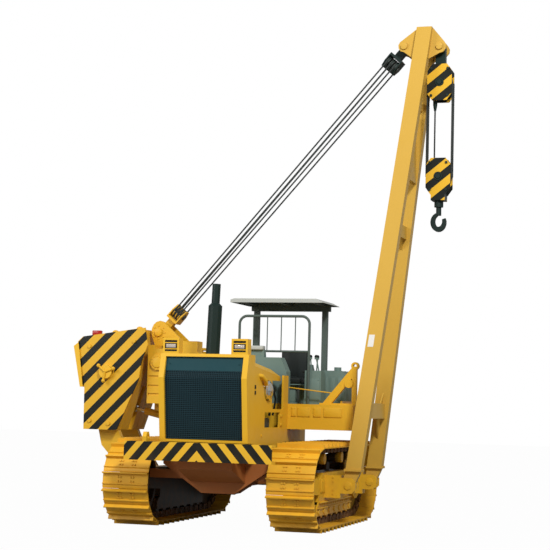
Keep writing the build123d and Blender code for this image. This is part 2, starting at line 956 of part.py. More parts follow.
def side_panels():
    """Engine side plates with the intake's hole, a window and a low hatch."""
    panels = []
    front_y = guard_back_y + 1
    for side in (-1, 1):
        x0, x1 = sorted((side * panel_half_width, side * (panel_half_width - panel_thickness)))
        outline = (
            (front_y, panel_low_z),
            (panel_back_y, panel_low_z),
            (panel_back_y, panel_back_z),
            (window_back_y, panel_back_z),
            (window_back_y, window_low_z),
            (window_front_y, window_low_z),
            (window_front_y, panel_back_z),
            (front_y, panel_front_z),
        )
        panel = plate_yz(outline, x0, x1)
        panel = panel - block(x0 - 1, x1 + 1, hatch_front_y, hatch_back_y, hatch_low_z, hatch_top_z)
        hole_radius = intake_radius + running_gap
        panel = panel - disc_x(x0 - 1, x1 + 1, intake_y, intake_z, hole_radius, wheel_sides)
        near, far = sorted((side * body_half_width, side * (panel_half_width - 1)))
        low = body_top_z
        ledge = block(near, far, front_y, panel_back_y, low, low + panel_ledge)
        near, far = sorted((side * (hood_half_width + 1), side * (panel_half_width - 1)))
        low = panel_back_z - 2 * panel_ledge
        lip = block(near, far, front_y, window_front_y, low, low + panel_ledge)
        panels.append(joined([panel, ledge, lip]))
    return panels


def air_intake():
    """Polished round intake in the left side plate, on its duct."""
    face = panel_half_width + panel_thickness
    back = face - intake_depth

    def disc(x0, x1, radius):
        return disc_x(x0, x1, intake_y, intake_z, radius, wheel_sides)

    bell = disc(back, face, intake_radius)
    bell = bell - disc(back + intake_wall, face + 1, intake_radius - intake_wall)
    cone = disc(back + 1, face - intake_wall, intake_cone_radius)
    return joined([bell, cone, disc(engine_half_width, back + 1, intake_duct_radius)])


def engine_block():
    half = engine_half_width
    return block(-half, half, engine_front_y, engine_back_y, body_top_z, engine_top_z)


def exhaust():
    """Muffler with a thinner open stack, leaning a little to the boom side."""

    def tube(z0, z1, radius):
        return disc_z(z0, z1, 0, 0, radius, pin_sides)

    shoulder = muffler_length + muffler_shoulder
    cone = loft(
        [
            Plane(origin=(0, 0, muffler_length)) * RegularPolygon(muffler_radius, pin_sides),
            Plane(origin=(0, 0, shoulder)) * RegularPolygon(tail_radius, pin_sides),
        ]
    )
    stack = joined([tube(0, muffler_length, muffler_radius), cone, tube(shoulder, tail_length, tail_radius)])
    stack = stack - tube(muffler_length, tail_length + 1, tail_bore_radius)
    stack = Pos(exhaust_x, exhaust_y, exhaust_low_z) * Rot(0, exhaust_lean, 0) * stack
    top = exhaust_low_z + muffler_shoulder
    pipe = disc_z(engine_top_z, top, exhaust_x, exhaust_y, exhaust_pipe_radius, pin_sides)
    return stack + pipe


def dashboard():
    """Cowl between the hood and the operator, with the raised panel."""
    half = cowl_half_width
    outline = (
        (-half, floor_z),
        (half, floor_z),
        (half, cowl_shoulder_z),
        (half - cowl_slope, cowl_top_z),
        (-half + cowl_slope, cowl_top_z),
        (-half, cowl_shoulder_z),
    )
    cowl = plate_xz(outline, panel_back_y, cowl_back_y)
    head_outline = (
        (panel_back_y + side_gap, cowl_top_z - 1),
        (cowl_back_y - cowl_slope, cowl_top_z - 1),
        (cowl_back_y - cowl_slope - panel_head_height / 3, cowl_top_z + panel_head_height),
        (panel_back_y + side_gap, cowl_top_z + panel_head_height),
    )
    return cowl + plate_yz(head_outline, panel_head_x0, panel_head_x1)


def deck():
    """Floor plate over the rear case and the left cross-beam."""
    low = floor_z - floor_thickness
    outline = (
        (deck_right_x, panel_back_y),
        (left_beam_end_x, panel_back_y),
        (left_beam_end_x, step_front_y),
        (step_x, step_front_y),
        (step_x, deck_back_y),
        (deck_right_x, deck_back_y),
        (deck_right_x, winch_back_y + 1),
        (-body_half_width, winch_back_y + 1),
        (-body_half_width, leg_front_y),
        (deck_right_x, leg_front_y),
    )
    face = make_face(Polyline(*outline, close=True))
    floor = extrude(Plane(origin=(0, 0, low)) * face, amount=floor_thickness)
    board_x1 = toe_board_x + post_foot_thickness
    board_y0, board_y1 = console_y0, step_front_y - side_gap
    board = block(toe_board_x, board_x1, board_y0, board_y1, floor_z - 1, floor_z + toe_board_height)
    return floor + board


def seat():
    """Bucket seat on a pedestal: cushion, raked back and two arm rests."""
    x = seat_x
    half = seat_half_width
    cushion_y1 = seat_back_y - 0.16 * (seat_back_y - seat_front_y)
    soft = 40.0
    cushion = plate_yz(
        (
            (seat_front_y, seat_pan_z + soft),
            (seat_front_y + soft, seat_pan_z),
            (cushion_y1, seat_pan_z),
            (cushion_y1, seat_top_z - soft),
            (seat_front_y + 2 * soft, seat_top_z),
            (seat_front_y, seat_top_z - soft),
        ),
        x - half,
        x + half,
    )
    back = plate_yz(
        (
            (seat_back_y - 3 * soft, seat_pan_z + soft),
            (seat_back_y - soft, seat_pan_z + soft),
            (seat_back_y, seat_back_top_z - soft),
            (seat_back_y - soft / 2, seat_back_top_z),
            (seat_back_y - 1.5 * soft, seat_back_top_z),
            (seat_back_y - 2 * soft, seat_back_top_z - soft),
        ),
        x - half + soft / 2,
        x + half - soft / 2,
    )
    base_half = 0.68 * half
    y0, y1 = seat_front_y + 1.5 * soft, cushion_y1 - soft
    base = block(x - base_half, x + base_half, y0, y1, floor_z, seat_pan_z + 1)
    parts = [cushion, back, base]
    rest_z = seat_top_z + 2.75 * soft
    for side in (-1, 1):
        x0, x1 = sorted((x + side * (half - 1), x + side * (half + soft)))
        rest = (
            (seat_front_y + 2 * soft, rest_z),
            (seat_back_y - soft, rest_z),
            (seat_back_y - soft, rest_z - soft),
            (cushion_y1, rest_z - 1.5 * soft),
            (cushion_y1, seat_pan_z + soft),
            (cushion_y1 - soft, seat_pan_z + soft),
            (cushion_y1 - soft, rest_z - soft),
            (seat_front_y + 2 * soft, rest_z - soft),
        )
        parts.append(plate_yz(rest, x0, x1))
    return joined(parts)


def control_console():
    """Box left of the operator with the winch levers."""
    slope = 0.3 * (console_y1 - console_y0)
    outline = (
        (console_y0, floor_z),
        (console_y1, floor_z),
        (console_y1, console_top_z - slope),
        (console_y1 - slope, console_top_z),
        (console_y0, console_top_z),
    )
    parts = [plate_yz(outline, console_x0, console_x1)]
    for x, y, tilt in lever_places:
        end = (x + tilt, y - knob_radius, lever_top_z)
        parts.append(bar((x, y, console_top_z - 1), end, lever_radius, knob_sides))
        top = lever_top_z + knob_radius
        parts.append(disc_z(lever_top_z - knob_radius, top, end[0], end[1], knob_radius, tube_sides))
    return joined(parts)


def fuel_tank():
    """Tank on the left of the deck with its filler cap."""
    outline = (
        (fuel_x0, floor_z),
        (fuel_x1, floor_z),
        (fuel_x1, fuel_top_z - fuel_chamfer),
        (fuel_x1 - fuel_chamfer, fuel_top_z),
        (fuel_x0, fuel_top_z),
    )
    cap_x = fuel_x1 - 2 * fuel_chamfer
    cap_y = fuel_y0 + 1.25 * fuel_chamfer
    cap = disc_z(fuel_top_z - 1, fuel_top_z + cap_height, cap_x, cap_y, cap_radius, roller_sides)
    return plate_xz(outline, fuel_y0, fuel_y1) + cap


def rear_tank():
    """Tank behind the seat."""
    outline = (
        (rear_tank_y, floor_z),
        (deck_back_y, floor_z),
        (deck_back_y, rear_tank_top_z - rear_tank_chamfer),
        (deck_back_y - rear_tank_chamfer, rear_tank_top_z),
        (rear_tank_y, rear_tank_top_z),
    )
    return plate_yz(outline, rear_tank_x0, rear_tank_x1)


def guard_rail():
    """Bent tube hoop in front of the operator, with thin bars."""
    x0 = station_x - rail_half_width
    x1 = station_x + rail_half_width
    corners = [(x, rail_y, z) for x, z in ((x0, floor_z), (x0, rail_top_z), (x1, rail_top_z), (x1, floor_z))]
    path = FilletPolyline(*corners, radius=rail_bend)
    plane = Plane(origin=path @ 0, z_dir=path % 0)
    hoop = sweep(plane * RegularPolygon(rail_tube, tube_sides), path=path)
    cross_radius = 0.8 * rail_tube
    parts = [hoop, bar((x0, rail_y, rail_cross_z), (x1, rail_y, rail_cross_z), cross_radius, knob_sides)]
    for share in (0.2, 0.4, 0.6, 0.8):
        x = x0 + share * (x1 - x0)
        parts.append(bar((x, rail_y, rail_cross_z), (x, rail_y, rail_top_z), rail_rod, knob_sides))
    return joined(parts)


def canopy():
    """Shallow tray roof with turned-down edges on two square posts."""
    x0, x1 = station_x - canopy_half_width, station_x + canopy_half_width
    low = canopy_top_z - canopy_rim
    sheet = canopy_sheet

    def outline(inset):
        return (
            (x0 + inset, low - (1 if inset else 0)),
            (x1 - inset, low - (1 if inset else 0)),
            (x1 - canopy_slope - inset, canopy_top_z - inset),
            (x0 + canopy_slope / 2 + inset, canopy_top_z - inset),
            (x0 + inset, canopy_top_z - inset - canopy_rim / 3),
        )

    roof = plate_xz(outline(0), canopy_front_y, canopy_back_y)
    roof = roof - plate_xz(outline(sheet), canopy_front_y + sheet, canopy_back_y - sheet)
    beam_low = low - post_size
    parts = [roof]
    beam_half = post_spacing / 2 + post_size
    top = canopy_top_z - sheet + 1
    y0, y1 = post_y - post_size / 2, post_y + post_size / 2
    parts.append(block(station_x - beam_half, station_x + beam_half, y0, y1, beam_low, top))
    for share in (-0.5, 0.0, 0.5):
        x = station_x + share * post_spacing
        half = canopy_rib_width / 2
        rib_y0, rib_y1 = canopy_front_y + 1, canopy_back_y - 1
        parts.append(block(x - half, x + half, rib_y0, rib_y1, low, top))
    for side in (-1, 1):
        x = station_x + side * post_spacing / 2
        half = post_size / 2
        parts.append(block(x - half, x + half, y0, y1, floor_z, top))
        foot = post_foot / 2
        foot_z = floor_z + post_foot_thickness
        parts.append(block(x - foot, x + foot, post_y - foot, post_y + foot, floor_z, foot_z))
    return joined(parts)


def boom_stop():
    """Strut bracket on the left cross-beam that the raised boom meets."""
    y0, y1 = boom_y - post_size / 2, boom_y + post_size / 2
    x1 = left_beam_end_x
    z = floor_z
    rise = 610.0
    width = 140.0
    run = 4 * width
    eye_x, eye_z, radius = x1 - width / 5, z + rise + 10, 0.44 * width
    diagonal = (
        (x1 - run, z),
        (x1 - run + width, z),
        (x1, z + rise - width / 1.4),
        (x1, z + rise),
        (x1 - width / 2.3, z + rise),
    )
    eye = disc_y(y0, y1, eye_x, eye_z, radius, pin_sides) - disc_y(
        y0 - 1, y1 + 1, eye_x, eye_z, radius / 2, roller_sides
    )
    disc_half = 0.72 * post_size
    disc_x0 = x1 - 0.86 * width
    base_half = 1.17 * post_size
    parts = [
        plate_xz(diagonal, y0, y1),
        block(x1 - width / 2, x1, y0, y1, z, z + rise - width / 7),
        eye,
        disc_y(boom_y - disc_half, boom_y + disc_half, disc_x0, z + 0.56 * rise, width / 2, pin_sides),
        block(x1 - run - width / 7, x1, boom_y - base_half, boom_y + base_half, z, z + post_foot_thickness),
    ]
    return joined(parts)


def foot_brackets(side, pin_x, pin_z, ys):
    """Two forked brackets on a track frame's outer side, with their pins."""
    brackets = []
    root = side * (gauge_half + frame_half_width)
    gap_half = eye_width / 2 + side_gap
    reach = gap_half + lug_thickness
    x_face = side * (abs(pin_x) - eye_radius - running_gap)
    for y in ys:
        low, high = pin_z - 1.6 * lug_radius, pin_z + 1.3 * lug_radius
        parts = [block(root, x_face, y - reach, y + reach, low, high)]
        for edge in (-1, 1):
            y0, y1 = sorted((y + edge * gap_half, y + edge * reach))
            lug = (
                (x_face - side, pin_z - lug_radius),
                (pin_x + side * lug_radius / 2, pin_z - lug_radius),
                (pin_x + side * lug_radius, pin_z - lug_radius / 2),
                (pin_x + side * lug_radius, pin_z + lug_radius / 2),
                (pin_x + side * lug_radius / 2, pin_z + lug_radius),
                (x_face - side, pin_z + lug_radius),
            )
            parts.append(plate_xz(lug, y0, y1))
        parts.append(disc_y(y - reach, y + reach, pin_x, pin_z, boom_pin_radius, pin_sides))
        brackets.append(joined(parts))
    return brackets


def leg_centre(z):
    """Where the middle of the boom's legs lies at this height."""
    share = (z - leg_foot_z) / (leg_head_z - leg_foot_z)
    return leg_foot_x + share * (leg_head_x - leg_foot_x)


def leg_offset(z):
    """How far each leg stands from the boom's middle plane."""
    share = (z - leg_foot_z) / (leg_head_z - leg_foot_z)
    return (boom_foot_spread + share * (boom_head_spread - boom_foot_spread)) / 2


def boom_leg(edge):
    """One box leg with its foot eye."""

    def section(z):
        centre = (leg_centre(z), boom_y + edge * leg_offset(z), z)
        return Plane(origin=centre, x_dir=(1, 0, 0), z_dir=(0, 0, 1)) * Rectangle(leg_width, leg_depth)

    leg = loft([section(leg_low_z), section(boom_top_z)])
    y = boom_y + edge * boom_foot_spread / 2
    y0, y1 = y - eye_width / 2, y + eye_width / 2
    eye = disc_y(y0, y1, boom_pin_x, boom_pin_z, eye_radius, wheel_sides)
    x = leg_centre(leg_low_z)
    web_points = (
        (boom_pin_x - 0.9 * eye_radius, boom_pin_z + eye_radius / 4),
        (boom_pin_x + 0.9 * eye_radius, boom_pin_z + eye_radius / 4),
        (x + leg_width / 2, leg_low_z),
        (x - leg_width / 2, leg_low_z),
    )
    web = plate_xz(web_points, y0, y1)
    flange_half = leg_width / 2 + foot_flange_lip
    flange_y = leg_depth / 2 + foot_flange_lip
    low, high = leg_low_z - foot_flange, leg_low_z + foot_flange
    flange = block(x - flange_half, x + flange_half, y - flange_y, y + flange_y, low, high)
    hole = rod_y(y - eye_width, y + eye_width, boom_pin_x, boom_pin_z, boom_pin_radius + seat_gap)
    return joined([leg, eye, web, flange]) - hole


def head_outline():
    """Side view of the head plates, from the luffing pin over to the hoist pin."""
    reach = 0.9 * eye_radius
    left = (luff_pin_x, luff_pin_z)
    right = (hoist_pin_x, hoist_pin_z)
    radii = (reach, reach)
    wide = (1.15 * reach, 1.15 * reach)
    top_x = leg_centre(boom_top_z)
    top = [(top_x + leg_width / 2, boom_top_z), (top_x - leg_width / 2, boom_top_z)]
    low = [(leg_head_x - leg_width / 4, leg_head_z), (leg_head_x + leg_width / 4, leg_head_z)]
    return top + arc(left, radii, 135.0, 270.0, 5) + low + arc(right, wide, -90.0, 45.0, 5)


def boom():
    """Two converging box legs tied by plates, with the head plates between them."""
    parts = [boom_leg(-1), boom_leg(1)]
    for z0, height, thickness in cross_plates:
        z1 = z0 + height
        z = z0 + height / 2
        x = leg_centre(z)
        reach = leg_offset(z)
        parts.append(block(x - thickness / 2, x + thickness / 2, boom_y - reach, boom_y + reach, z0, z1))
    x = leg_centre((web_low_z + web_top_z) / 2)
    low, high = leg_offset(web_low_z), leg_offset(web_top_z)
    web = (
        (boom_y - low, web_low_z),
        (boom_y + low, web_low_z),
        (boom_y + high, web_top_z),
        (boom_y - high, web_top_z),
    )
    parts.append(plate_yz(web, x - web_half, x + web_half))
    reach = head_gap_half + head_plate
    for edge in (-1, 1):
        y0, y1 = sorted((boom_y + edge * head_gap_half, boom_y + edge * reach))
        parts.append(plate_xz(head_outline(), y0, y1))
    tie_x = leg_centre(tie_z)
    parts.append(disc_y(boom_y - reach, boom_y + reach, tie_x, tie_z, tie_radius, pin_sides))
    for x, z in ((luff_pin_x, luff_pin_z), (hoist_pin_x, hoist_pin_z)):
        pin_reach = reach + head_plate / 2
        parts.append(disc_y(boom_y - pin_reach, boom_y + pin_reach, x, z, head_pin_radius, pin_sides))
    return joined(parts)


def turned(shape, x, z, angle):
    """The shape turned about a crosswise line through (x, z)."""
    return shape.rotate(Axis((x, boom_y, z), (0, 1, 0)), angle)


def rope_angle():
    """Slope of the luffing ropes above the level, in degrees."""
    return math.degrees(math.atan2(luff_pin_z - tower_pin_z, luff_pin_x - tower_pin_x))


def rope_length():
    return math.dist((luff_pin_x, luff_pin_z), (tower_pin_x, tower_pin_z))


def luffing_block(x, z, way, reach, lane):
    """Rope block drawn level from its pin: an eye, a crosshead, cheeks and three sheaves."""
    y = boom_y
    head = x + way * (reach - luff_sheave_radius - 2.5 * cheek_thickness)
    tip = x + way * (reach + luff_sheave_radius)
    half = lane + luff_sheave_width / 2 + side_gap
    shank_x = sorted((x, head))
    head_x = sorted((head, head + way * 2 * cheek_thickness))
    parts = [
        disc_y(y - shank_half, y + shank_half, x, z, block_eye_radius, pin_sides),
        block(*shank_x, y - shank_half, y + shank_half, z - shank_half, z + shank_half),
        block(*head_x, y - cheek_half, y + cheek_half, z - half - 1, z + half + 1),
    ]
    for edge in (-1, 1):
        z0, z1 = sorted((z + edge * half, z + edge * (half + cheek_thickness)))
        outline = (
            (head, y - cheek_half),
            (x + way * reach, y - cheek_half),
            (tip, y - cheek_half / 2),
            (tip, y + cheek_half / 2),
            (x + way * reach, y + cheek_half),
            (head, y + cheek_half),
        )
        face = make_face(Polyline(*outline, close=True))
        parts.append(extrude(Plane(origin=(0, 0, z0)) * face, amount=z1 - z0))
    axle_half = half + 1.5 * cheek_thickness
    axle_x = x + way * reach
    parts.append(disc_z(z - axle_half, z + axle_half, axle_x, y, 2 * cheek_thickness, roller_sides))
    for number in (-1, 0, 1):
        z0 = z + number * lane - luff_sheave_width / 2
        parts.append(disc_z(z0, z0 + luff_sheave_width, axle_x, y, luff_sheave_radius, sheave_sides))
    bore = rod_y(y - 2 * shank_half, y + 2 * shank_half, x, z, head_pin_radius + seat_gap)
    return turned(joined(parts) - bore, x, z, -rope_angle())


def lower_luffing_block():
    """Rope block on the tower's pin, its sheaves towards the boom."""
    return luffing_block(tower_pin_x, tower_pin_z, 1, low_block_reach, low_block_lane)


def upper_luffing_block():
    """Rope block pinned at the boom head, its sheaves towards the tower."""
    return luffing_block(luff_pin_x, luff_pin_z, -1, high_block_reach, high_block_lane)


def luffing_ropes():
    """Straight rope runs between the two luffing blocks."""
    x, z = tower_pin_x, tower_pin_z
    start = x + low_block_reach
    end = x + rope_length() - high_block_reach
    shift = luff_sheave_radius + rope_radius + seat_gap
    ropes = []
    for number in (-1, 0, 1):
        for edge in (-1, 1):
            low = (start, boom_y + edge * shift, z + number * low_block_lane)
            high = (end, boom_y + edge * shift, z + number * high_block_lane)
            ropes.append(turned(bar(low, high, rope_radius, tube_sides), x, z, -rope_angle()))
    return ropes


def sheave_case(x, z):
    """Side plates, sheaves and pin of a hoist block."""
    wide, tall, cut = hoist_cheek_half, hoist_cheek_height, hoist_cheek_corner
    outline = (
        (x - wide, z - tall + cut),
        (x - wide + 0.7 * cut, z - tall),
        (x + wide - 0.7 * cut, z - tall),
        (x + wide, z - tall + cut),
        (x + wide, z + tall - cut),
        (x + wide - 0.7 * cut, z + tall),
        (x - wide + 0.7 * cut, z + tall),
        (x - wide, z + tall - cut),
    )
    reach = hoist_cheek_inner + hoist_cheek
    parts = []
    for edge in (-1, 1):
        y0, y1 = sorted((boom_y + edge * hoist_cheek_inner, boom_y + edge * reach))
        parts.append(plate_xz(outline, y0, y1))
    axle_half = reach + hoist_cheek / 2
    parts.append(disc_y(boom_y - axle_half, boom_y + axle_half, x, z, 2 * hoist_cheek, roller_sides))
    for number in (-1, 0, 1):
        y0 = boom_y + number * hoist_lane - hoist_sheave_width / 2
        parts.append(disc_y(y0, y0 + hoist_sheave_width, x, z, hoist_sheave_radius, sheave_sides))
    return parts


def upper_hoist_block():
    """Rope block that hangs plumb from the boom head."""
    x = hoist_pin_x
    z = hoist_pin_z - hoist_drop
    bridge_z = z + hoist_sheave_radius + side_gap
    parts = sheave_case(x, z)
    y0, y1 = boom_y - hoist_cheek_inner - 1, boom_y + hoist_cheek_inner + 1
    parts.append(block(x - shank_half, x + shank_half, y0, y1, bridge_z, z + hoist_cheek_height))
    y0, y1 = boom_y - shank_half, boom_y + shank_half
    parts.append(block(x - block_eye_radius, x + block_eye_radius, y0, y1, bridge_z, hoist_pin_z))
    parts.append(disc_y(y0, y1, x, hoist_pin_z, block_eye_radius, pin_sides))
    y0, y1 = y0 - 1, y1 + 1
    bore = rod_y(y0, y1, x, hoist_pin_z, head_pin_radius + seat_gap)
    return joined(parts) - bore


def hoist_ropes():
    """Straight rope falls between the upper block and the hook block."""
    x = hoist_pin_x
    top = hoist_pin_z - hoist_drop
    reach = hoist_sheave_radius + rope_radius + seat_gap
    ropes = []
    for lane, edge in ((-1, -1), (-1, 1), (0, 1), (1, -1), (1, 1)):
        y = boom_y + lane * hoist_lane
        ropes.append(disc_z(hook_block_z, top, x + edge * reach, y, rope_radius, tube_sides))
    return ropes


def hook_block():
    """Lower rope block with the yoke that the hook turns in."""
    x = hoist_pin_x
    low = hook_block_z - hoist_cheek_height
    top = hook_block_z - hoist_sheave_radius - side_gap
    reach = hoist_cheek_inner + hoist_cheek
    parts = sheave_case(x, hook_block_z)
    parts.append(block(x - yoke_half, x + yoke_half, boom_y - reach, boom_y + reach, low - yoke_drop, top))
    bore_z = low - yoke_drop
    bore = rod_z(bore_z - 1, bore_z + yoke_drop, x, boom_y, hook_shank_radius + seat_gap)
    return joined(parts) - bore


def hook():
    """Forged hook hanging in its swivel."""
    x, z = hoist_pin_x, hook_centre_z
    outer = arc((x, z), hook_outer, 95.0, 385.0, 18)
    throat = (x + 4, z + 15)
    inner = arc(throat, hook_inner, 380.0, 110.0, 14)
    half = hook_thickness / 2
    bowl = plate_xz(outer + inner, boom_y - half, boom_y + half)
    yoke_low = hook_block_z - hoist_cheek_height - yoke_drop
    top = yoke_low + yoke_drop - 1
    bowl_top = z + hook_outer[1]
    shank = disc_z(bowl_top - hook_shank_radius, top, x, boom_y, hook_shank_radius, pin_sides)
    collar = disc_z(hook_swivel_z - 50, yoke_low - seat_gap, x, boom_y, hook_collar_radius, pin_sides)
    return joined([bowl, shank, collar])


def winch_housing():
    """Gear case of the two winches, with its slotted front."""
    left, right = winch_left_x, winch_right_x + 20
    low, top = winch_floor_z, housing_top_z
    slope = 1.5 * (top - housing_right_z)
    outline = ((left, low), (right, low), (right, housing_right_z), (right - slope, top), (left, top))
    case = plate_xz(outline, housing_front_y, housing_plate_y)
    for z in housing_slot_zs:
        x0, x1 = left + housing_slot_half, left + 12 * housing_slot_half
        y1 = housing_front_y + housing_slot_half
        case = case - block(x0, x1, housing_front_y - 1, y1, z - housing_slot_half, z + housing_slot_half)
    cover_y = housing_front_y - 30
    cover = disc_y(cover_y, housing_front_y + 1, cover_x, cover_z, cover_radius, wheel_sides)
    box_x0, box_x1 = right - 510, right - 180
    top_box = block(box_x0, box_x1, housing_front_y, housing_plate_y, top - 40, top + cover_radius)
    rear = plate_xz(outline, housing_rear_y, housing_rear_y + winch_plate)
    tie = block(left, left + 60, housing_plate_y - 1, housing_rear_y + 1, low, low + 60)
    return joined([case, cover, top_box, rear, tie])


def winch_drums():
    """Luffing and hoist drums behind the gear case."""
    drums = []
    front, back = housing_plate_y + seat_gap, housing_rear_y - seat_gap
    for x, z, radius in drum_places:
        far = radius + drum_flange
        y0 = front + drum_flange_inset
        y1 = back - drum_flange_inset
        parts = [disc_y(front, back, x, z, radius, wheel_sides)]
        parts.append(disc_y(y0, y0 + drum_flange_thickness, x, z, far, wheel_sides))
        parts.append(disc_y(y1 - drum_flange_thickness, y1, x, z, far, wheel_sides))
        drums.append(joined(parts))
    return drums


def winch_tower():
    """Front and rear tower plates that hold the luffing block's pin."""
    x, z = tower_pin_x, tower_pin_z
    crown = arc((x + 20, z + 10), (150.0, 180.0), 190.0, 40.0, 7)
    outline = [(x - 60, tower_low_z)] + crown + [(x + 450, z - 160), (x + 490, tower_low_z)]
    reach = tower_gap_half + tower_plate
    parts = []
    for edge in (-1, 1):
        y0, y1 = sorted((boom_y + edge * tower_gap_half, boom_y + edge * reach))
        parts.append(plate_xz(outline, y0, y1))
    pin_reach = reach + tower_plate / 2
    parts.append(disc_y(boom_y - pin_reach, boom_y + pin_reach, x, z, head_pin_radius, pin_sides))
    for x0, x1 in ((x - 60, x + 60), (x + 300, x + 400)):
        y0, y1 = housing_front_y, housing_rear_y + winch_plate
        parts.append(block(x0, x1, y0, y1, housing_top_z, tower_low_z + 1))
    return joined(parts)


def weight_outline(inset):
    """Side view of the slab stack, seen from the front, drawn in by the inset."""
    x = weight_pin_x
    return (
        (x - 874 + inset, weight_low_z + inset),
        (x - 340 - inset, weight_low_z + inset),
        (x - 70 - inset, 2209),
        (x + 15 - inset, 2774),
        (x - inset, 3036 - inset),
        (x - 932 + inset, 2897 - inset),
        (x - 1020 + inset, 2815 - inset),
        (x - 882 + inset, 2061),
    )


def counterweight():
    """Stacked slabs on the right, a face plate in front and a flange outside."""
    x = weight_pin_x
    stack = plate_xz(weight_outline(0), weight_front_y, weight_back_y)
    for y in weight_slab_ys:
        ring = plate_xz(weight_outline(0), y - 5, y + 5)
        stack = stack - (ring - plate_xz(weight_outline(weight_groove), y - 6, y + 6))
    slot = block(
        x - 380,
        x + 90,
        cylinder_y - weight_slot_half,
        cylinder_y + weight_slot_half,
        weight_low_z - 20,
        weight_eye_z + 360,
    )
    face = (
        (x - 874, weight_low_z),
        (x - 300, weight_low_z),
        (x - 93, 1886),
        (x + 51, 2209),
        (x + 92, 2499),
        (x + 190, 2774),
        (x + 140, 3050),
        (x - 932, 2897),
        (x - 1020, 2815),
        (x - 882, 2061),
    )
    plate = plate_xz(face, weight_front_y - weight_plate, weight_front_y + 1)
    flange = plate_xz(
        ((x - 1080, 2740), (x - 1000, 2800), (x - 900, 2080), (x - 950, 2080)),
        weight_front_y - 2 * weight_plate,
        weight_front_y + 20,
    )
    front = weight_front_y - weight_plate
    knob = disc_y(front - 70, front + 1, x - 500, 2330, 110, pin_sides)
    return joined([stack - slot, plate, flange, knob])


def counterweight_arms():
    """Two curved arms that carry the counterweight on the right track frame."""
    arms = []
    half = eye_width / 2
    x, z = weight_pin_x, weight_pin_z
    top = weight_low_z - seat_gap
    outline = (
        (x + 70, z + 60),
        (x - 60, z - 85),
        (x - 350, z + 185),
        (x - 630, z + 485),
        (x - 690, top),
        (x - 350, top),
        (x - 260, z + 535),
        (x - 110, z + 335),
    )
    for y in weight_arm_ys:
        arm = plate_xz(outline, y - half, y + half)
        arm = arm + disc_y(y - half, y + half, x, z, eye_radius, wheel_sides)
        arm = arm - rod_y(y - half - 1, y + half + 1, x, z, boom_pin_radius + seat_gap)
        arms.append(arm)
    return arms


def cylinder_parts():
    """Barrel and rod of the counterweight's cylinder."""
    run = Vector(weight_eye_x - cylinder_pin_x, 0, weight_eye_z - cylinder_pin_z)
    length = run.length
    way = run.normalized()
    start = Vector(cylinder_pin_x, cylinder_y, cylinder_pin_z)

    def at(distance):
        point = start + way * distance
        return (point.X, point.Y, point.Z)

    def eye(x, z):
        half = cylinder_eye_half
        return disc_y(cylinder_y - half, cylinder_y + half, x, z, cylinder_eye_radius, pin_sides)

    def bore(x, z):
        half = cylinder_eye_half + 1
        return rod_y(cylinder_y - half, cylinder_y + half, x, z, cylinder_pin_radius + seat_gap)

    gland = length - barrel_short
    barrel = bar(at(barrel_start), at(gland), barrel_radius, pin_sides)
    barrel = barrel + eye(cylinder_pin_x, cylinder_pin_z)
    barrel = barrel - bar(at(rod_start - 30), at(gland + 1), rod_radius + seat_gap, pin_sides)
    barrel = barrel - bore(cylinder_pin_x, cylinder_pin_z)
    rod = bar(at(rod_start), at(length - cylinder_pin_radius - 20), rod_radius, pin_sides)
    rod = rod + eye(weight_eye_x, weight_eye_z) - bore(weight_eye_x, weight_eye_z)
    return barrel, rod


def drawbar():
    """Rear drawbar plate with its pin bore."""
    half = drawbar_half
    low, top = drawbar_low_z, drawbar_low_z + drawbar_thickness
    outline = (
        (body_back_y, low - drawbar_thickness / 2),
        (body_back_y + drawbar_root, low - drawbar_thickness / 2),
        (body_back_y + 2 * drawbar_root, low),
        (drawbar_end_y, low),
        (drawbar_end_y, top),
        (body_back_y + 2 * drawbar_root, top),
        (body_back_y + drawbar_root, top + 2.2 * drawbar_root),
        (body_back_y, top + 2.2 * drawbar_root),
    )
    bar_plate = plate_yz(outline, -half, half)
    return bar_plate - rod_z(low - 1, top + 1, 0, drawbar_pin_y, drawbar_pin_radius)


def machine():
    """Every piece by name, in tractor coordinates."""
    foot_ys = (boom_y - boom_foot_spread / 2, boom_y + boom_foot_spread / 2)
    barrel, rod = cylinder_parts()
    return {
        "left_track": track(1),
        "right_track": track(-1),
        "track_frames": [track_frame(1), track_frame(-1)],
        "track_idlers": [idler(1), idler(-1)],
        "track_sprockets": [sprocket(1), sprocket(-1)],
        "track_rollers": rollers(),
        "main_frame": main_frame(),
        "side_frames": side_frames(),
        "rear_case": rear_case(),
        "front_bumper": front_bumper(),
        "tow_hook": tow_hook(),
        "radiator_guard": radiator_guard(),
        "radiator_grille": grille(),
        "headlamps": headlamps(),
        "engine_hood": hood(),
        "engine_side_panels": side_panels(),
        "air_intake": air_intake(),
        "engine_block": engine_block(),
        "exhaust_stack": exhaust(),
        "dashboard_cowl": dashboard(),
        "operator_deck": deck(),
        "operator_seat": seat(),
        "control_console": control_console(),
        "fuel_tank": fuel_tank(),
        "rear_tank": rear_tank(),
        "guard_rail": guard_rail(),
        "canopy": canopy(),
        "boom_stop": boom_stop(),
        "pin_brackets": foot_brackets(1, boom_pin_x, boom_pin_z, foot_ys)
        + foot_brackets(-1, weight_pin_x, weight_pin_z, weight_arm_ys),
        "boom": boom(),
        "upper_luffing_block": upper_luffing_block(),
        "lower_luffing_block": lower_luffing_block(),
        "luffing_ropes": luffing_ropes(),
        "upper_hoist_block": upper_hoist_block(),
        "hoist_ropes": hoist_ropes(),
        "hook_block": hook_block(),
        "load_hook": hook(),
        "winch_housing": winch_housing(),
        "winch_drums": winch_drums(),
        "winch_tower": winch_tower(),
        "counterweight": counterweight(),
        "counterweight_arms": counterweight_arms(),
        "cylinder_barrel": barrel,
        "cylinder_rod": rod,
        "drawbar": drawbar(),
    }


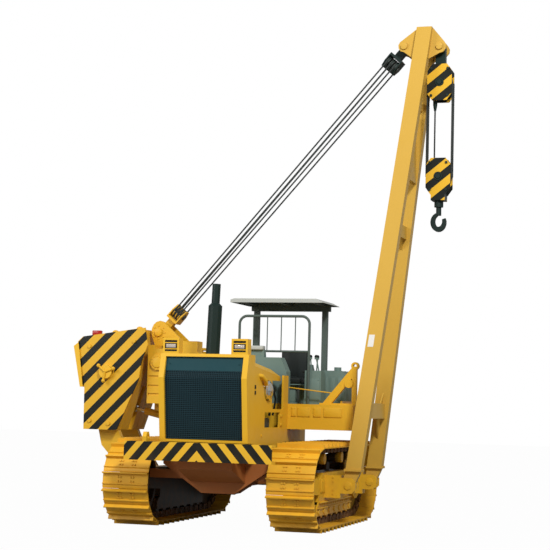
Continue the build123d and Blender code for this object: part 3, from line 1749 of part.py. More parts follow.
def as_compound(shape):
    solids = []
    for item in shape if isinstance(shape, list) else [shape]:
        solids.extend(item.solids())
    return solids[0] if len(solids) == 1 else Compound(children=solids)


pieces = {name: as_compound(shape) for name, shape in machine().items()}
boxes = [shape.bounding_box() for shape in pieces.values()]
low = [min(getattr(box.min, axis) for box in boxes) for axis in "XYZ"]
high = [max(getattr(box.max, axis) for box in boxes) for axis in "XYZ"]
offset = (-(low[0] + high[0]) / 2, -(low[1] + high[1]) / 2, -low[2])

for name, shape in pieces.items():
    export_step(Pos(*offset) * shape, f"parts/{name}.step")
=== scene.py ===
import math

import bmesh
import bpy
from mathutils import Matrix, Vector


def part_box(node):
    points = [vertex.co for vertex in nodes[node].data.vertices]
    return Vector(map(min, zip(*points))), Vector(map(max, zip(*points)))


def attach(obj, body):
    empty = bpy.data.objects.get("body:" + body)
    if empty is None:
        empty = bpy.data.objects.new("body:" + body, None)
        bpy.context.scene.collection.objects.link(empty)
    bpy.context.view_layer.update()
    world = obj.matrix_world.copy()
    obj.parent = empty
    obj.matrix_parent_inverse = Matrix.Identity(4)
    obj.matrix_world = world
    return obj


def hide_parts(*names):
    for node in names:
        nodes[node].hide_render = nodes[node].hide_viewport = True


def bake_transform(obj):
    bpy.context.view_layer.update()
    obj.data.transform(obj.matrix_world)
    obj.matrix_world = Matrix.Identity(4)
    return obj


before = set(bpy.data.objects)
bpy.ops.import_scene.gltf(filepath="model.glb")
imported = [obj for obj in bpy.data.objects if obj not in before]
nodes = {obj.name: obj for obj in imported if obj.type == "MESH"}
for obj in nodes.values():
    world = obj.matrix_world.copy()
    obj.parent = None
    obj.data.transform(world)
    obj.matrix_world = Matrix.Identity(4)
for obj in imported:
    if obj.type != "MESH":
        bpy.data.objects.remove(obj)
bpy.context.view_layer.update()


# Where the machine stands.
# Pieces are drawn in millimetres from the centre plane, the front towards -Y and the
# ground at z = 0. The bumper's corner tells how far the frame's own origin lies from that.
mm = 0.001
bumper_corner = Vector((-1125.0, -2650.0, 1020.0)) * mm
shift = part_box("front_bumper")[0] - bumper_corner
to_frame = Matrix.Translation(shift) @ Matrix.Scale(mm, 4)


# Yellow enamel.
# The chassis and hood are sprayed with two coats of alkyd enamel: an even warm yellow with
# a soft gloss, slight drifts in tone, and dust that settles near the ground. The boom's
# coat is a paler yellow. Painted shade: the main frame is brown, and what lies inwards
# between the tracks turns dark brown.
enamel_yellow = "e6b42c"
enamel_deep = "d8a525"
dust_brown = "94683a"
enamel_rough = 0.38
tone_size = 0.9
peel_grain = 0.012
# Painted shade between the tracks: dark brown that begins 1.36 m from the middle plane and is full
# at 1.28 m.
inner_shade_brown = "2a2013"
inner_shade_edge = 1.36
inner_shade_full = 1.28
dust_top = 1.3
dust_share = 0.45
mottle_scale = 7.0


def linear(colour):
    """An sRGB hex colour as the linear values that nodes take."""
    parts = [int(colour[i : i + 2], 16) / 255 for i in (0, 2, 4)]
    parts = [c / 12.92 if c <= 0.04045 else ((c + 0.055) / 1.055) ** 2.4 for c in parts]
    return (*parts, 1.0)


def put(tree, kind, links=None, **settings):
    """Adds one node, sets its settings, and fills its sockets with values or links."""
    node = tree.nodes.new("ShaderNode" + kind)
    for key, value in settings.items():
        setattr(node, key, value)
    for key, value in (links or {}).items():
        if isinstance(value, bpy.types.NodeSocket):
            tree.links.new(value, node.inputs[key])
        else:
            node.inputs[key].default_value = value
    return node


def fresh(name):
    """A new node material, its shader and its Object coordinates."""
    material = bpy.data.materials.new(name)
    material.use_nodes = True
    tree = material.node_tree
    shader = tree.nodes["Principled BSDF"]
    where = put(tree, "TexCoord").outputs["Object"]
    return material, tree, shader, where


def maths(tree, operation, *values):
    """One sum on sockets or numbers."""
    return put(tree, "Math", dict(enumerate(values)), operation=operation).outputs[0]


def mapped(tree, value, low, high, start=0.0, end=1.0):
    """A value carried over from one range to another, and kept inside it."""
    ranges = {"From Min": low, "From Max": high, "To Min": start, "To Max": end}
    return put(tree, "MapRange", {"Value": value, **ranges}).outputs[0]


def blended(tree, factor, first, second):
    """The colour between two, each a value or a socket."""
    mix = put(tree, "Mix", {"Factor": factor, 6: first, 7: second}, data_type="RGBA")
    return mix.outputs[2]


def from_centre(tree, where):
    """X, Y and Z in metres, counted as the machine is drawn."""
    place = put(tree, "Mapping", {"Vector": where, "Location": -shift})
    return put(tree, "SeparateXYZ", {"Vector": place.outputs["Vector"]}).outputs


def shade_between_tracks(tree, where, surface):
    """Painted shade: dark brown laid over what lies inwards between the tracks."""
    side = maths(tree, "ABSOLUTE", from_centre(tree, where)["X"])
    return blended(tree, mapped(tree, side, inner_shade_edge, inner_shade_full), surface, linear(inner_shade_brown))


def painted(name, colour, deep, rough=enamel_rough, dust=dust_share, stripes_and_shade=None):
    """Enamel on steel: two tones, orange peel, and dust low down."""
    material, tree, shader, where = fresh(name)
    drift = put(tree, "TexNoise", {"Vector": where, "Scale": 1 / tone_size, "Detail": 3.0})
    surface = blended(tree, drift.outputs["Fac"], linear(colour), linear(deep))
    # Hazard stripes are laid on here, and on the running gear the painted shade between the tracks.
    if stripes_and_shade is not None:
        surface = stripes_and_shade(tree, where, surface)
    height = put(tree, "SeparateXYZ", {"Vector": where}).outputs["Z"]
    low = mapped(tree, height, dust_top, 0.0)
    cloud = put(tree, "TexNoise", {"Vector": where, "Scale": mottle_scale, "Detail": 6.0})
    mottle = cloud.outputs["Fac"]
    cover = maths(tree, "MULTIPLY", low, mapped(tree, mottle, 0.35, 0.75))
    amount = maths(tree, "MULTIPLY", cover, dust)
    surface = blended(tree, amount, surface, linear(dust_brown))
    tree.links.new(surface, shader.inputs["Base Color"])
    grain = put(tree, "TexNoise", {"Vector": where, "Scale": 1 / peel_grain, "Detail": 2.0})
    peel = {"Height": grain.outputs["Fac"], "Strength": 0.05, "Distance": 0.002}
    tree.links.new(put(tree, "Bump", peel).outputs["Normal"], shader.inputs["Normal"])
    sheen = mapped(tree, mottle, 0.0, 1.0, rough - 0.06, rough + 0.12)
    tree.links.new(sheen, shader.inputs["Roughness"])
    shader.inputs["Specular IOR Level"].default_value = 0.28
    shader.inputs["Coat Weight"].default_value = 0.03
    shader.inputs["Coat Roughness"].default_value = 0.2
    return material


def dress(material, *names):
    """Puts a material on CAD nodes."""
    for name in names:
        nodes[name].data.materials.clear()
        nodes[name].data.materials.append(material)


yellow = painted("alkyd_enamel_yellow", enamel_yellow, enamel_deep)
# The running gear's coat carries painted shade inwards of the tracks.
running_gear = painted("enamel_shaded_inside", enamel_yellow, enamel_deep, stripes_and_shade=shade_between_tracks)
dress(running_gear, "track_frames", "track_idlers", "track_sprockets", "track_rollers")
# The main frame's brown is painted shade: the yellow enamel as it looks in shade under the machine.
dress(painted("enamel_shaded_brown", "b86d33", "98582a", 0.5), "main_frame")
boom_enamel = painted("enamel_paler_yellow", "d2a846", "c89d3c")
dress(boom_enamel, "boom")
dress(
    yellow,
    "side_frames",
    "rear_case",
    "tow_hook",
    "radiator_guard",
    "headlamps",
    "engine_hood",
    "engine_side_panels",
    "boom_stop",
    "pin_brackets",
    "winch_housing",
    "winch_tower",
    "counterweight_arms",
    "lower_luffing_block",
    "cylinder_barrel",
    "drawbar",
    "operator_deck",
)


# Darker paints.
# The operator's place is sprayed in a matt grey-green, the rope blocks, stack and canopy
# in a nearly black green. Both hide dust, so they carry less of it.
dark_paint = "0f2722"
grey_green = painted("matt_enamel_grey_green", "71877f", "647a73", 0.55, 0.2)
dark_green = painted("enamel_black_green", dark_paint, "0e1e19", 0.5, 0.15)
post_green = painted("enamel_post_green", "56635c", "4b5751", 0.5, 0.15)
roof_grey = painted("enamel_light_grey", "b9bcb6", "adb1ab", 0.45, 0.1)
engine_grey = painted("engine_enamel", "565f5a", "454d49", 0.45, 0.3)
dress(grey_green, "dashboard_cowl", "control_console", "fuel_tank", "rear_tank")
dress(dark_green, "exhaust_stack", "load_hook", "upper_luffing_block")
dress(post_green, "canopy", "guard_rail")
dress(engine_grey, "engine_block")


# Hazard stripes.
# Black bands rolled over the yellow through a mask, so their edges are crisp. On the
# bumper they meet in a chevron, on the counterweight and rope blocks they run one way.
stripe_black = "10130d"
boom_y = 80.0


def banded(lean, period, start, share, face, reach, plain, mirrored=False):
    """Bands of constant height plus lean times the sideways place, in metres.

    They cover what lies within reach of the face, counted from the boom's middle plane.
    """

    def stripes_and_shade(tree, where, surface):
        axes = from_centre(tree, where)
        side = axes["X"]
        if mirrored:
            side = maths(tree, "ABSOLUTE", side)
        slope = maths(tree, "MULTIPLY_ADD", side, lean, axes["Z"])
        turns = maths(tree, "DIVIDE", maths(tree, "SUBTRACT", slope, start), period)
        dark = maths(tree, "LESS_THAN", maths(tree, "WRAP", turns, 1.0, 0.0), share)
        bands = blended(tree, dark, surface, linear(stripe_black))
        off = maths(tree, "ABSOLUTE", maths(tree, "SUBTRACT", axes["Y"], boom_y * mm))
        on_face = maths(tree, "COMPARE", off, face, reach)
        return blended(tree, on_face, linear(plain), bands)

    return stripes_and_shade


chevrons = {
    "lean": 1.17,
    "period": 0.30,
    "start": 1.18,
    "share": 0.55,
    "face": 2.6,
    "reach": 0.2,
    "plain": enamel_yellow,
    "mirrored": True,
}
weight_bands = {
    "lean": -1.0,
    "period": 0.327,
    "start": 5.13,
    "share": 0.47,
    "face": 0.67,
    "reach": 0.024,
    "plain": enamel_yellow,
}
block_bands = {
    "lean": -0.8,
    "period": 0.30,
    "share": 0.5,
    "face": 0.112,
    "reach": 0.02,
    "plain": dark_paint,
}
for name, node, dust, stripes_and_shade in (
    ("chevrons", "front_bumper", dust_share, banded(**chevrons)),
    ("weight_bands", "counterweight", dust_share, banded(**weight_bands)),
    ("upper_bands", "upper_hoist_block", 0.1, banded(start=0.10, **block_bands)),
    ("lower_bands", "hook_block", 0.1, banded(start=0.02, **block_bands)),
):
    coat = painted("enamel_" + name, enamel_yellow, enamel_deep, dust=dust, stripes_and_shade=stripes_and_shade)
    dress(coat, node)


# Tracks.
# Each track is a chain of 41 forged links on hardened pins, every link with a rolled
# steel shoe on four bolts. Shoes are painted yellow.
gauge_half = 1275.0
shoe_half = 360.0
shoe_pitch = 228.6
shoe_count = 41
wheel_base = 3000.0
idler_y = -1595.0
sprocket_y = idler_y + wheel_base
pin_radius = (shoe_count * shoe_pitch - 2 * wheel_base) / (2 * math.pi)
shoe_seat = 46.0
shoe_face = 62.0
grouser_tip = 118.0
wheel_z = pin_radius + grouser_tip
bolt_flats = 16.0
bolt_height = 15.0
sides = (("left", 1), ("right", -1))


def slab(bm, low, high, edge=0.0, place=Matrix.Identity(4)):
    """A rectangular bar between two corners, its edges eased."""
    low, high = Vector(low), Vector(high)
    matrix = place @ Matrix.LocRotScale((low + high) / 2, None, high - low)
    verts = bmesh.ops.create_cube(bm, size=1.0, matrix=matrix)["verts"]
    if edge:
        ease(bm, list({e for v in verts for e in v.link_edges}), edge)


def ease(bm, edges, width, segments=2):
    """Rounds edges a little, as a grinder or a mould leaves them."""
    bmesh.ops.bevel(
        bm,
        geom=edges,
        offset=width,
        offset_type="OFFSET",
        segments=segments,
        profile=0.5,
        affect="EDGES",
        material=-1,
    )


def round_bar(bm, start, end, radius, sides=16, tip=None, place=Matrix.Identity(4)):
    """A round bar from one point to the other, or a cone if tip is given."""
    start, end = Vector(start), Vector(end)
    turn = (end - start).to_track_quat("Z", "Y")
    matrix = place @ Matrix.LocRotScale((start + end) / 2, turn, None)
    bmesh.ops.create_cone(
        bm,
        cap_ends=True,
        segments=sides,
        radius1=radius,
        radius2=radius if tip is None else tip,
        depth=(end - start).length,
        matrix=matrix,
    )


def plate(bm, outline, start, along, edge=0.0, place=Matrix.Identity(4)):
    """A flat shape, drawn as points, that is extruded by the vector along."""
    start = Vector(start)
    ring = [bm.verts.new(place @ (start + Vector(p))) for p in outline]
    face = bm.faces.new(ring)
    grown = bmesh.ops.extrude_face_region(bm, geom=[face], use_keep_orig=True)["geom"]
    far = [v for v in grown if isinstance(v, bmesh.types.BMVert)]
    push = place.to_3x3() @ Vector(along)
    bmesh.ops.translate(bm, verts=far, vec=push)
    if edge:
        ends = [face] + [f for f in grown if isinstance(f, bmesh.types.BMFace)]
        ease(bm, list({e for f in ends for e in f.edges}), edge)


def turned(bm, profile, centre, axis, sides=32):
    """Spins a profile of (distance along, radius) points about an axis."""
    centre, axis = Vector(centre), Vector(axis).normalized()
    out = axis.orthogonal().normalized()
    chain = [bm.verts.new(centre + axis * far + out * radius) for far, radius in profile]
    edges = [bm.edges.new(pair) for pair in zip(chain, chain[1:])]
    bmesh.ops.spin(
        bm,
        geom=chain + edges,
        cent=centre,
        axis=axis,
        angle=2 * math.pi,
        steps=sides,
        use_merge=True,
        use_duplicate=False,
    )
    bmesh.ops.remove_doubles(bm, verts=bm.verts, dist=0.01)


def bolts(bm, places, way, radius=15.0, height=12.0):
    """Hexagon bolt heads standing on a face that looks along way."""
    way = Vector(way).normalized()
    for place in places:
        foot = Vector(place) - way
        round_bar(bm, foot, foot + way * (height + 1), radius, 6)


def around(count, radius):
    """Evenly spaced places on a circle."""
    turns = [math.radians(360 / count * number) for number in range(count)]
    return [(math.cos(turn) * radius, math.sin(turn) * radius) for turn in turns]


def ball(bm, centre, radius, sides, rings):
    """A ball, such as a knob or a bend of a hose."""
    place = Matrix.Translation(Vector(centre))
    bmesh.ops.create_uvsphere(bm, u_segments=sides, v_segments=rings, radius=radius, matrix=place)


def hose(bm, points, radius, sides=10):
    """A bent tube through the points, with rounded joints between its straights."""
    for start, end in zip(points, points[1:]):
        round_bar(bm, start, end, radius, sides)
    for point in points[1:-1]:
        ball(bm, point, radius, sides, 6)


def finished(bm, name, material, body, replaced=(), smooth=35.0):
    """Turns the mesh into a piece in the frame that rides on its body."""
    bmesh.ops.transform(bm, matrix=to_frame, verts=bm.verts)
    bmesh.ops.recalc_face_normals(bm, faces=bm.faces)
    mesh = bpy.data.meshes.new(name)
    bm.to_mesh(mesh)
    bm.free()
    mesh.shade_smooth()
    mesh.set_sharp_from_angle(angle=math.radians(smooth))
    piece = bpy.data.objects.new(name, mesh)
    bpy.context.scene.collection.objects.link(piece)
    mesh.materials.append(material)
    if body:
        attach(piece, body)
    if replaced:
        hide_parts(*replaced)
    return piece


def chain_places(centre):
    """A matrix for each link: X across, Y along the chain, Z outwards."""
    arc = math.pi * pin_radius
    length = 2 * wheel_base + 2 * arc
    points = []
    for number in range(shoe_count):
        run = (number + 0.5) * length / shoe_count
        if run < wheel_base:
            points.append(Vector((0, sprocket_y - run, wheel_z - pin_radius)))
        elif run < wheel_base + arc:
            turn = (run - wheel_base) / pin_radius
            bend = Vector((0, -math.sin(turn), -math.cos(turn))) * pin_radius
            points.append(Vector((0, idler_y, wheel_z)) + bend)
        elif run < 2 * wheel_base + arc:
            points.append(Vector((0, idler_y + run - wheel_base - arc, wheel_z + pin_radius)))
        else:
            turn = (run - 2 * wheel_base - arc) / pin_radius
            bend = Vector((0, math.sin(turn), math.cos(turn))) * pin_radius
            points.append(Vector((0, sprocket_y, wheel_z)) + bend)
    places = []
    for start, end in zip(points, points[1:] + points[:1]):
        across = Vector((1, 0, 0))
        along = (end - start).normalized()
        out = across.cross(along)
        turn = Matrix((across, along, out)).transposed().to_4x4()
        middle = (start + end) / 2 + Vector((centre, 0, 0))
        places.append(Matrix.Translation(middle) @ turn)
    return places


def track_shoe(bm, place):
    """Rolled shoe with one tall grouser, two low ribs and four bolts."""
    end = (shoe_pitch - 12.0) / 2
    outline = (
        (-end, shoe_seat),
        (end, shoe_seat),
        (end, shoe_face),
        (end - 3, grouser_tip),
        (end - 21, grouser_tip),
        (end - 30, shoe_face),
        (-end + 56, shoe_face),
        (-end + 50, shoe_face + 22),
        (-end + 36, shoe_face + 22),
        (-end + 30, shoe_face),
        (-end, shoe_face),
        (-end - 26, shoe_seat + 2),
        (-end - 26, shoe_seat - 6),
    )
    profile = [(-shoe_half, s, h) for s, h in outline]
    plate(bm, profile, (0, 0, 0), (2 * shoe_half, 0, 0), place=place)
    for x in (-120.0, -80.0, 80.0, 120.0):
        for s in (-22.0, 40.0):
            foot = Vector((x, s, shoe_face))
            round_bar(bm, foot, foot + Vector((0, 0, bolt_height)), bolt_flats, 6, place=place)


def track_link(bm, place):
    """The two bars of a link, overlapping the next one's, with pin and bush."""
    reach = shoe_pitch / 2
    eye = ((reach + 18, -50), (reach + 42, -20), (reach + 42, 18), (reach + 15, 42))
    bar = ((-20, -50), *eye, (-20, 46))
    for side in (-1, 1):
        for x, way in ((side * 78, -1), (side * 50, 1)):
            outline = [(x, way * s, h) for s, h in bar]
            plate(bm, outline, (0, 0, 0), (side * 27, 0, 0), place=place)
    round_bar(bm, (-112, -reach, 0), (112, -reach, 0), 24, 12, place=place)
    round_bar(bm, (-50, -reach, 0), (50, -reach, 0), 36, 12, place=place)


shoe_paint = painted("enamel_worn_by_ground", "e9b32c", "d79d22", 0.45, 0.4)
chain_steel = painted("forged_steel_dusty", "6b4a2c", "4a3521", 0.6, 0.6)
for name, side in sides:
    shoes = bmesh.new()
    links = bmesh.new()
    for place in chain_places(side * gauge_half):
        track_shoe(shoes, place)
        track_link(links, place)
    finished(shoes, name + "_track_shoes", shoe_paint, "machine", [name + "_track"])
    finished(links, name + "_track_links", chain_steel, "machine", [name + "_track"])


# Radiator screen.


# A woven wire screen, painted black-green, stretched on a bar frame behind the guard.
# It bends with the guard's front. Above it a plain teal strip closes the top tank.
guard_half = 680.0
guard_rim = 82.0
screen_half = guard_half - guard_rim - 2
screen_recess = 45.0
screen_low = 1332.0
foot_y, foot_z = -2370.0, 1295.0
kink_y, kink_z = -2500.0, 2230.0
head_y, head_z = -2410.0, 2585.0
strip_low = 2335.0
strip_top = 2538.0
wire_step = 28.0
wire_half = 5.0


def guard_front(z):
    """How far forward the guard's front reaches at this height."""
    if z <= kink_z:
        return foot_y + (z - foot_z) / (kink_z - foot_z) * (kink_y - foot_y)
    return kink_y + (z - kink_z) / (head_z - kink_z) * (head_y - kink_y)


def leaning_bar(bm, x0, x1, z0, z1, y_shift, depth):
    """A flat bar that follows the guard's front between two heights."""
    corners = [
        (x0, guard_front(z0) + y_shift, z0),
        (x0, guard_front(z1) + y_shift, z1),
        (x1, guard_front(z1) + y_shift, z1),
        (x1, guard_front(z0) + y_shift, z0),
    ]
    plate(bm, corners, (0, 0, 0), (0, depth, 0))


screen_black = painted("wire_enamel_blue_black", "12343c", "0e2b33", 0.55, 0.0)
teal = painted("enamel_teal", "083d44", "07343a", 0.6, 0.0)
core_black = painted("radiator_core_black", "0b1012", "080c0e", 0.7, 0.0)

bm = bmesh.new()
x = -screen_half + wire_step / 2
while x < screen_half:
    leaning_bar(bm, x - wire_half, x + wire_half, screen_low, kink_z, screen_recess, 8)
    leaning_bar(bm, x - wire_half, x + wire_half, kink_z, strip_low, screen_recess, 8)
    x += wire_step
z = screen_low + wire_step / 2
while z < strip_low:
    y = guard_front(z) + screen_recess - 5
    slab(bm, (-screen_half, y, z - wire_half), (screen_half, y + 8, z + wire_half))
    z += wire_step
finished(bm, "radiator_screen", screen_black, "machine", ["radiator_grille"])

bm = bmesh.new()
leaning_bar(bm, -screen_half, screen_half, strip_low, strip_top, screen_recess - 8, 30)
for side in (-1, 1):
    x = side * (screen_half - 60)
    z = (strip_low + strip_top) / 2
    y = guard_front(z) + screen_recess - 8
    round_bar(bm, (x, y, z), (x, y - 10, z), 12, 12)
finished(bm, "radiator_top_strip", teal, "machine")

bm = bmesh.new()
leaning_bar(bm, -screen_half, screen_half, screen_low, kink_z, screen_recess + 40, 60)
leaning_bar(bm, -screen_half, screen_half, kink_z, strip_low, screen_recess + 40, 60)
finished(bm, "radiator_core", core_black, "machine")


# Work lamps.
# Pressed steel housings on the guard's top, each with a clear glass lens in a black
# rubber gasket, between two bars and two dark slots. The slots are black bars: painted shade.
lamp_x = 530.0
lamp_front = -2405.0
lamp_base = 2585.0
glass, tree, shader, where = fresh("lamp_glass")
shader.inputs["Base Color"].default_value = linear("b9ada0")
shader.inputs["Roughness"].default_value = 0.08
flutes = put(tree, "TexWave", {"Vector": where, "Scale": 60.0}, bands_direction="X")
bump = put(tree, "Bump", {"Height": flutes.outputs["Fac"], "Strength": 0.4, "Distance": 0.004})
tree.links.new(bump.outputs["Normal"], shader.inputs["Normal"])
rubber = painted("black_rubber", "141716", "0f1211", 0.7, 0.1)


def lamp_bar(bm, x, half, low, high, front, back, edge):
    """A bar across a lamp's face."""
    near = (x - half, lamp_front - front, lamp_base + low)
    slab(bm, near, (x + half, lamp_front + back, lamp_base + high), edge)


for name, side in sides:
    x = side * lamp_x
    bm = bmesh.new()
    # The first two bars are the slots, black as painted shade in their openings. The third is the
    # lens's gasket.
    for low, high in ((34.0, 56.0), (164.0, 186.0), (72.0, 148.0)):
        lamp_bar(bm, x, 92, low, high, 6, 20, 4)
    finished(bm, name + "_lamp_gasket_and_slot_shade", rubber, "machine")
    bm = bmesh.new()
    lamp_bar(bm, x, 76, 82, 138, 12, 10, 8)
    finished(bm, name + "_lamp_lens", glass, "machine")
    bm = bmesh.new()
    for low, high in ((57.0, 71.0), (149.0, 163.0)):
        lamp_bar(bm, x, 94, low, high, 9, 18, 3)
    finished(bm, name + "_lamp_bars", yellow, "machine")


# Ropes.
# Steel wire rope, six strands laid round a core, greased grey-black. Five parts of line
# run between the luffing blocks, and five between the hoist blocks.
rope_radius = 14.0
rope_lay = 190.0
rope_rings = 6
luff_pin = Vector((2400.0, boom_y, 7590.0))
luff_sheave = 105.0
tower_pin = Vector((-1600.0, boom_y, 3000.0))
hoist_x = 2965.0
hoist_top = 7010.0
hook_block_z = 5510.0
sheave_radius = 185.0
hoist_lane = 62.0
low_lane = 55.0
low_reach = 430.0
high_lane = 72.0
high_reach = 350.0
becket_edge = -0.42
wire, tree, shader, where = fresh("greased_wire_rope")
grime = put(tree, "TexNoise", {"Vector": where, "Scale": 40.0, "Detail": 4.0})
tone = blended(tree, grime.outputs["Fac"], linear("2c302f"), linear("4a4f4d"))
tree.links.new(tone, shader.inputs["Base Color"])
shader.inputs["Metallic"].default_value = 0.6
shader.inputs["Roughness"].default_value = 0.5


def screwed(bm, ring, centre, axis, step, angle, steps):
    """Screws a closed section along an axis and closes both its ends."""
    edges = [bm.edges.new(pair) for pair in zip(ring, ring[1:] + ring[:1])]
    bm.faces.new(ring)
    made = bmesh.ops.spin(
        bm,
        geom=edges,
        cent=centre,
        axis=axis,
        dvec=step,
        angle=angle,
        steps=steps,
        use_merge=False,
        use_duplicate=False,
    )
    last = [e for e in made["geom_last"] if isinstance(e, bmesh.types.BMEdge)]
    bmesh.ops.contextual_create(bm, geom=last)


def rope_run(bm, start, end, radius=rope_radius):
    """A straight rope: a six-lobed section screwed along its run."""
    start, end = Vector(start), Vector(end)
    run = end - start
    way = run.normalized()
    steps = max(2, round(run.length / rope_lay * rope_rings))
    out = way.orthogonal().normalized()
    side = way.cross(out)
    ring = []
    for number in range(12):
        angle = number * math.pi / 6
        reach = radius if number % 2 == 0 else radius * 0.72
        ring.append(bm.verts.new(start + (out * math.cos(angle) + side * math.sin(angle)) * reach))
    turn = 2 * math.pi * run.length / rope_lay
    screwed(bm, ring, start, way, run / steps, turn, steps)


luff_way = (luff_pin - tower_pin).normalized()
luff_up = Vector((-luff_way.z, 0, luff_way.x))
low_centre = tower_pin + luff_way * low_reach
high_centre = luff_pin - luff_way * high_reach
bm = bmesh.new()
for lane, edge in ((-1, -1), (-1, 1), (0, -1), (1, -1), (1, 1)):
    aside = Vector((0, edge * (luff_sheave + rope_radius), 0))
    low = low_centre + luff_up * lane * low_lane + aside
    high = high_centre + luff_up * lane * high_lane + aside
    rope_run(bm, low, high)
piece = finished(bm, "luffing_rope_falls", wire, None, ["luffing_ropes"])
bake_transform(piece)

bm = bmesh.new()
for lane, edge in ((-1, -1), (-1, 1), (0, becket_edge), (1, -1), (1, 1)):
    x = hoist_x + edge * (sheave_radius + rope_radius)
    y = boom_y + lane * hoist_lane
    rope_run(bm, (x, y, hook_block_z), (x, y, hoist_top))
piece = finished(bm, "hoist_rope_falls", wire, None, ["hoist_ropes"])
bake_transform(piece)


# Winch drums.
# Cast drums between two flanges, wound with greased wire rope, turn beside turn, in one
# full layer.
drum_y = -76.0
drum_turns = 20.9
drum_pitch = 28.5
drums = ((-1390.0, 2430.0, 170.0), (-910.0, 2150.0, 180.0))


def coil(bm, centre, way, radius, turns, pitch, sides=20):
    """A rope wound as a helix about an axis."""
    centre, way = Vector(centre), Vector(way).normalized()
    out = way.orthogonal().normalized()
    ring = []
    for number in range(8):
        angle = number * math.pi / 4
        reach = radius + rope_radius * math.cos(angle)
        ring.append(bm.verts.new(centre + out * reach + way * rope_radius * math.sin(angle)))
    screwed(bm, ring, centre, way, way * pitch / sides, 2 * math.pi * turns, int(turns * sides))


bm = bmesh.new()
for x, z, radius in drums:
    coil(bm, (x, drum_y, z), (0, 1, 0), radius + rope_radius, drum_turns, drum_pitch)
finished(bm, "drum_rope", wire, "machine")
dress(dark_green, "winch_drums")


# Roller guards.
# Steel side plates that fence the track rollers, bolted to the track frame's flanges, with
# the recoil spring's cover plates and the idler's bearing blocks above them.
guard_face = 1425.0
cover_step = 14.0
shelf_reach = 48.0
lower_reach = 24.0
bearing_rise = 20.0
first_roller = -1080.0
roller_step = 320.8
roller_z = 273.3
drive_reach = 190.0
axle_cap = ((-1, 0), (-1, 62), (14, 58), (14, 30), (8, 26), (8, 0))


def side_slab(bm, side, face, reach, along, height, edge):
    """A plate on a side's face, from just inside it to reach outside it."""
    near, far = sorted((side * (face - 1), side * (face + reach)))
    slab(bm, (near, along[0], height[0]), (far, along[1], height[1]), edge)


for name, side in sides:
    bm = bmesh.new()
    face = side * guard_face
    out = Vector((side, 0, 0))
    for y0, y1, z0, z1 in ((-1000, -420, 560, 770), (-330, -40, 590, 740), (120, 480, 560, 770)):
        side_slab(bm, side, guard_face, cover_step, (y0, y1), (z0, z1), 5)
        corners = [(y, z) for y in (y0 + 35, (y0 + y1) / 2, y1 - 35) for z in (z0 + 32, z1 - 32)]
        bolts(bm, [(face + side * cover_step, y, z) for y, z in corners], out, 14, 10)
    side_slab(bm, side, guard_face, shelf_reach, (-1080, 845), (404, 426), 4)
    side_slab(bm, side, guard_face, lower_reach, (-1180, 945), (322, 338), 3)
    bolts(bm, [(face, -1120 + 118 * n, 376) for n in range(18)], out)
    for number in range(7):
        y = first_roller + roller_step * number
        turned(bm, [(-1, 0), (-1, 46), (10, 46), (16, 38), (16, 0)], (face, y, roller_z), out, 18)
        bolts(bm, [(face, y + dy, roller_z) for dy in (-72, 72)], out, 12, 10)
    block_z = (wheel_z - 84, wheel_z + 84)
    side_slab(bm, side, guard_face, bearing_rise, (idler_y - 118, idler_y + 175), block_z, 8)
    x = face + side * bearing_rise
    turned(bm, axle_cap, (x, idler_y, wheel_z), out, 28)
    bolts(bm, [(x, idler_y + dy, wheel_z + dz) for dy, dz in around(6, 74)], out, 10, 8)
    x = side * (gauge_half + drive_reach)
    bolts(bm, [(x, sprocket_y + dy, wheel_z + dz) for dy, dz in around(12, 150)], out, 14, 12)
    turned(bm, [(-1, 0), (-1, 90), (20, 80), (26, 40), (26, 0)], (x, sprocket_y, wheel_z), out, 28)
    finished(bm, name + "_roller_guard_plates", running_gear, "machine")


# Pin keepers.
# Turned washers and two-bolt keeper plates hold every big pin. They are painted with the
# machine, in yellow.
foot_pin = (1790.0, 665.0)
foot_spread = 740.0
weight_pin = (-1790.0, 665.0)
weight_ears = (-340.0, 500.0)
cylinder_pin = (-960.0, 1510.0)
ear_reach = 103.0


def keeper(bm, centre, way, radius):
    """A domed washer with two bolts beside it."""
    centre, way = Vector(centre), Vector(way)
    washer = ((-1, 0), (-1, radius), (12, radius - 4), (16, radius * 0.5), (16, 0))
    turned(bm, washer, centre, way, 28)
    aside = Vector((radius * 0.7, 0, 0))
    bolts(bm, [centre - aside + way * 12, centre + aside + way * 12], way, 9, 8)


def keeper_pair(bm, pin, y, reach, radius):
    """A keeper at either end of a pin."""
    for edge in (-1, 1):
        keeper(bm, (pin[0], y + edge * reach, pin[1]), (0, edge, 0), radius)


bm = bmesh.new()
for y in (boom_y - foot_spread, boom_y + foot_spread):
    keeper_pair(bm, foot_pin, y, ear_reach, 62)
    bolts(bm, [(1560.0, y - ear_reach, z) for z in (540, 600, 730, 790)], (0, -1, 0))
for y in weight_ears:
    keeper_pair(bm, weight_pin, y, ear_reach, 62)
keeper_pair(bm, (tower_pin.x, tower_pin.z), boom_y, 200, 66)
keeper_pair(bm, cylinder_pin, boom_y, 98, 48)
for edge in (-1, 1):
    ring = [(tower_pin.x + dx, boom_y + edge * 180, tower_pin.z + dz) for dx, dz in around(8, 108)]
    bolts(bm, ring, (0, edge, 0), 12, 10)
finished(bm, "pin_keepers", yellow, "machine")


# Boom fittings.
# Triangular gussets stiffen the legs at the lower cross plate, the foot flanges are bolted,
# and a small blank aluminium plate is riveted on the front leg.
leg_foot = Vector((1838.0, foot_spread, 720.0))
leg_head = Vector((2672.0, 230.0, 7340.0))
leg_run = (leg_head.x - leg_foot.x) / (leg_head.z - leg_foot.z)
leg_lean = (leg_foot.y - leg_head.y) / (leg_head.z - leg_foot.z)
gusset_lean = 0.077
cheek_reach = 204.0
hoist_pin = (hoist_x, 7570.0)


def leg_middle(z):
    """Where the middle of the boom's legs lies at this height."""
    return leg_foot.x + (z - leg_foot.z) * leg_run


def leg_spread(z):
    """How far each leg stands from the boom's middle plane."""
    return leg_foot.y - (z - leg_foot.z) * leg_lean


